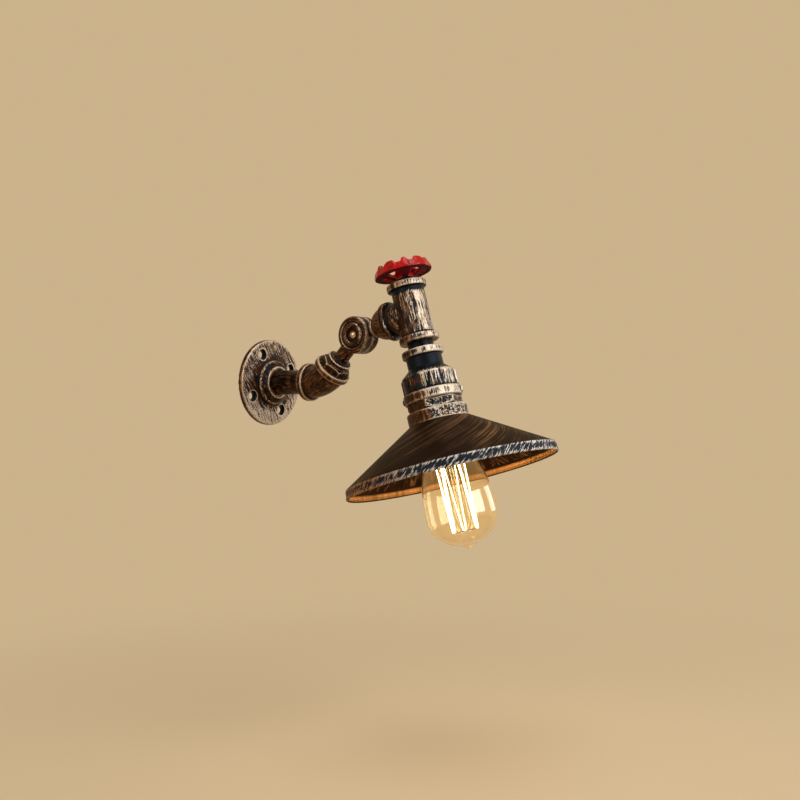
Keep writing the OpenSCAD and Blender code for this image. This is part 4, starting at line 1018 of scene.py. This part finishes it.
backdrop = {
    "colour": (0.60, 0.45, 0.265, 1), "ambient": (1.0, 0.95, 0.88, 1), "ambientStrength": 0.35,
    "floorPlace": (0.0, -0.15, -0.30), "floorRadius": 12.0, "floorTone": 0.8, "floorRough": 0.9,
    "shadowNear": 0.15, "shadowFar": 0.75, "glowNear": 0.35,  # the shadow fades out between these
}
softLights = {
    "keySoftbox": {"place": (0.02, -1.52, 0.60), "size": 1.2, "power": 25.0,
                   "colour": (1.0, 0.98, 0.95)},
    "fillSoftbox": {"place": (-1.4, 0.1, 0.40), "size": 0.5, "power": 7.0,
                    "colour": (1.0, 0.93, 0.84)},
    "topSoftbox": {"place": (-0.1, -0.3, 1.4), "size": 0.9, "power": 10.0,
                   "colour": (1.0, 0.98, 0.95)},
    "sideSoftbox": {"place": (1.15, -0.80, 0.20), "size": 0.6, "power": 3.0,
                    "colour": (0.96, 0.98, 1.0)},
}
lightAim = (0.0, -0.15, -0.01)
bulbGlow = {"power": 0.34, "colour": (1.0, 0.72, 0.42), "height": 174.0, "size": 0.008}


def seenRay(tree):
    path = addNode(tree, "ShaderNodeLightPath").outputs
    mirrored = calc(tree, "MAXIMUM", path["Is Glossy Ray"], path["Is Transmission Ray"])
    return calc(tree, "MAXIMUM", path["Is Camera Ray"], mirrored)


def makeFloor(cfg):
    mat, tree, shader = newMaterial("paleFloor")
    tone = [cfg["floorTone"] * c for c in cfg["colour"][:3]] + [1]
    shader.inputs["Base Color"].default_value = tone
    shader.inputs["Roughness"].default_value = cfg["floorRough"]
    coords = addNode(tree, "ShaderNodeTexCoord").outputs["Object"]
    away = addNode(tree, "ShaderNodeVectorMath", {0: coords}, operation="LENGTH").outputs["Value"]
    fade = between(tree, away, cfg["shadowNear"], cfg["shadowFar"], cfg["glowNear"], 1.0)
    share = times(tree, seenRay(tree), fade)
    glow = addNode(tree, "ShaderNodeEmission", {"Color": cfg["colour"], "Strength": 1.0})
    mixed = addNode(tree, "ShaderNodeMixShader",
                    {0: share, 1: shader.outputs[0], 2: glow.outputs[0]})
    below = addNode(tree, "ShaderNodeNewGeometry").outputs["Backfacing"]  # clear from below
    nothing = addNode(tree, "ShaderNodeBsdfTransparent")
    mixed = addNode(tree, "ShaderNodeMixShader",
                    {0: below, 1: mixed.outputs[0], 2: nothing.outputs[0]})
    out = next(n for n in tree.nodes if n.bl_idname == "ShaderNodeOutputMaterial")
    tree.links.new(mixed.outputs[0], out.inputs[0])
    form = bmesh.new()
    bmesh.ops.create_circle(form, cap_ends=True, segments=96, radius=cfg["floorRadius"])
    floor = addObject("paleFloor", keepForm(form, "paleFloor"))
    floor.data.materials.append(mat)
    floor.location = cfg["floorPlace"]


def makeWorld(cfg):
    world = bpy.data.worlds.new("studio")
    scene.world = world
    world.use_nodes = True
    tree = world.node_tree
    tree.nodes.clear()
    ambient = addNode(tree, "ShaderNodeBackground",
                      {"Color": cfg["ambient"], "Strength": cfg["ambientStrength"]})
    shown = addNode(tree, "ShaderNodeBackground", {"Color": cfg["colour"], "Strength": 1.0})
    mixed = addNode(tree, "ShaderNodeMixShader",
                    {0: seenRay(tree), 1: ambient.outputs[0], 2: shown.outputs[0]})
    out = addNode(tree, "ShaderNodeOutputWorld")
    tree.links.new(mixed.outputs[0], out.inputs[0])


def addLight(name, kind, cfg):
    data = bpy.data.lights.new(name, kind)
    data.energy = cfg["power"]
    data.color = cfg["colour"]
    return addObject(name, data)


def makeLights():
    for name, cfg in softLights.items():
        light = addLight(name, "AREA", cfg)
        light.data.shape = "SQUARE"
        light.data.size = cfg["size"]
        lookAt(light, cfg["place"], lightAim)
    glow = addLight("bulbGlow", "POINT", bulbGlow)
    glow.data.shadow_soft_size = bulbGlow["size"]
    glow.location = runFrame @ Vector((0, 0, bulbGlow["height"] * mm))
    glow.visible_camera = glow.visible_glossy = glow.visible_transmission = False  # not seen itself
    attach(glow, "lamp_head")


makeFloor(backdrop)
makeWorld(backdrop)
makeLights()
print("floor and lights placed")
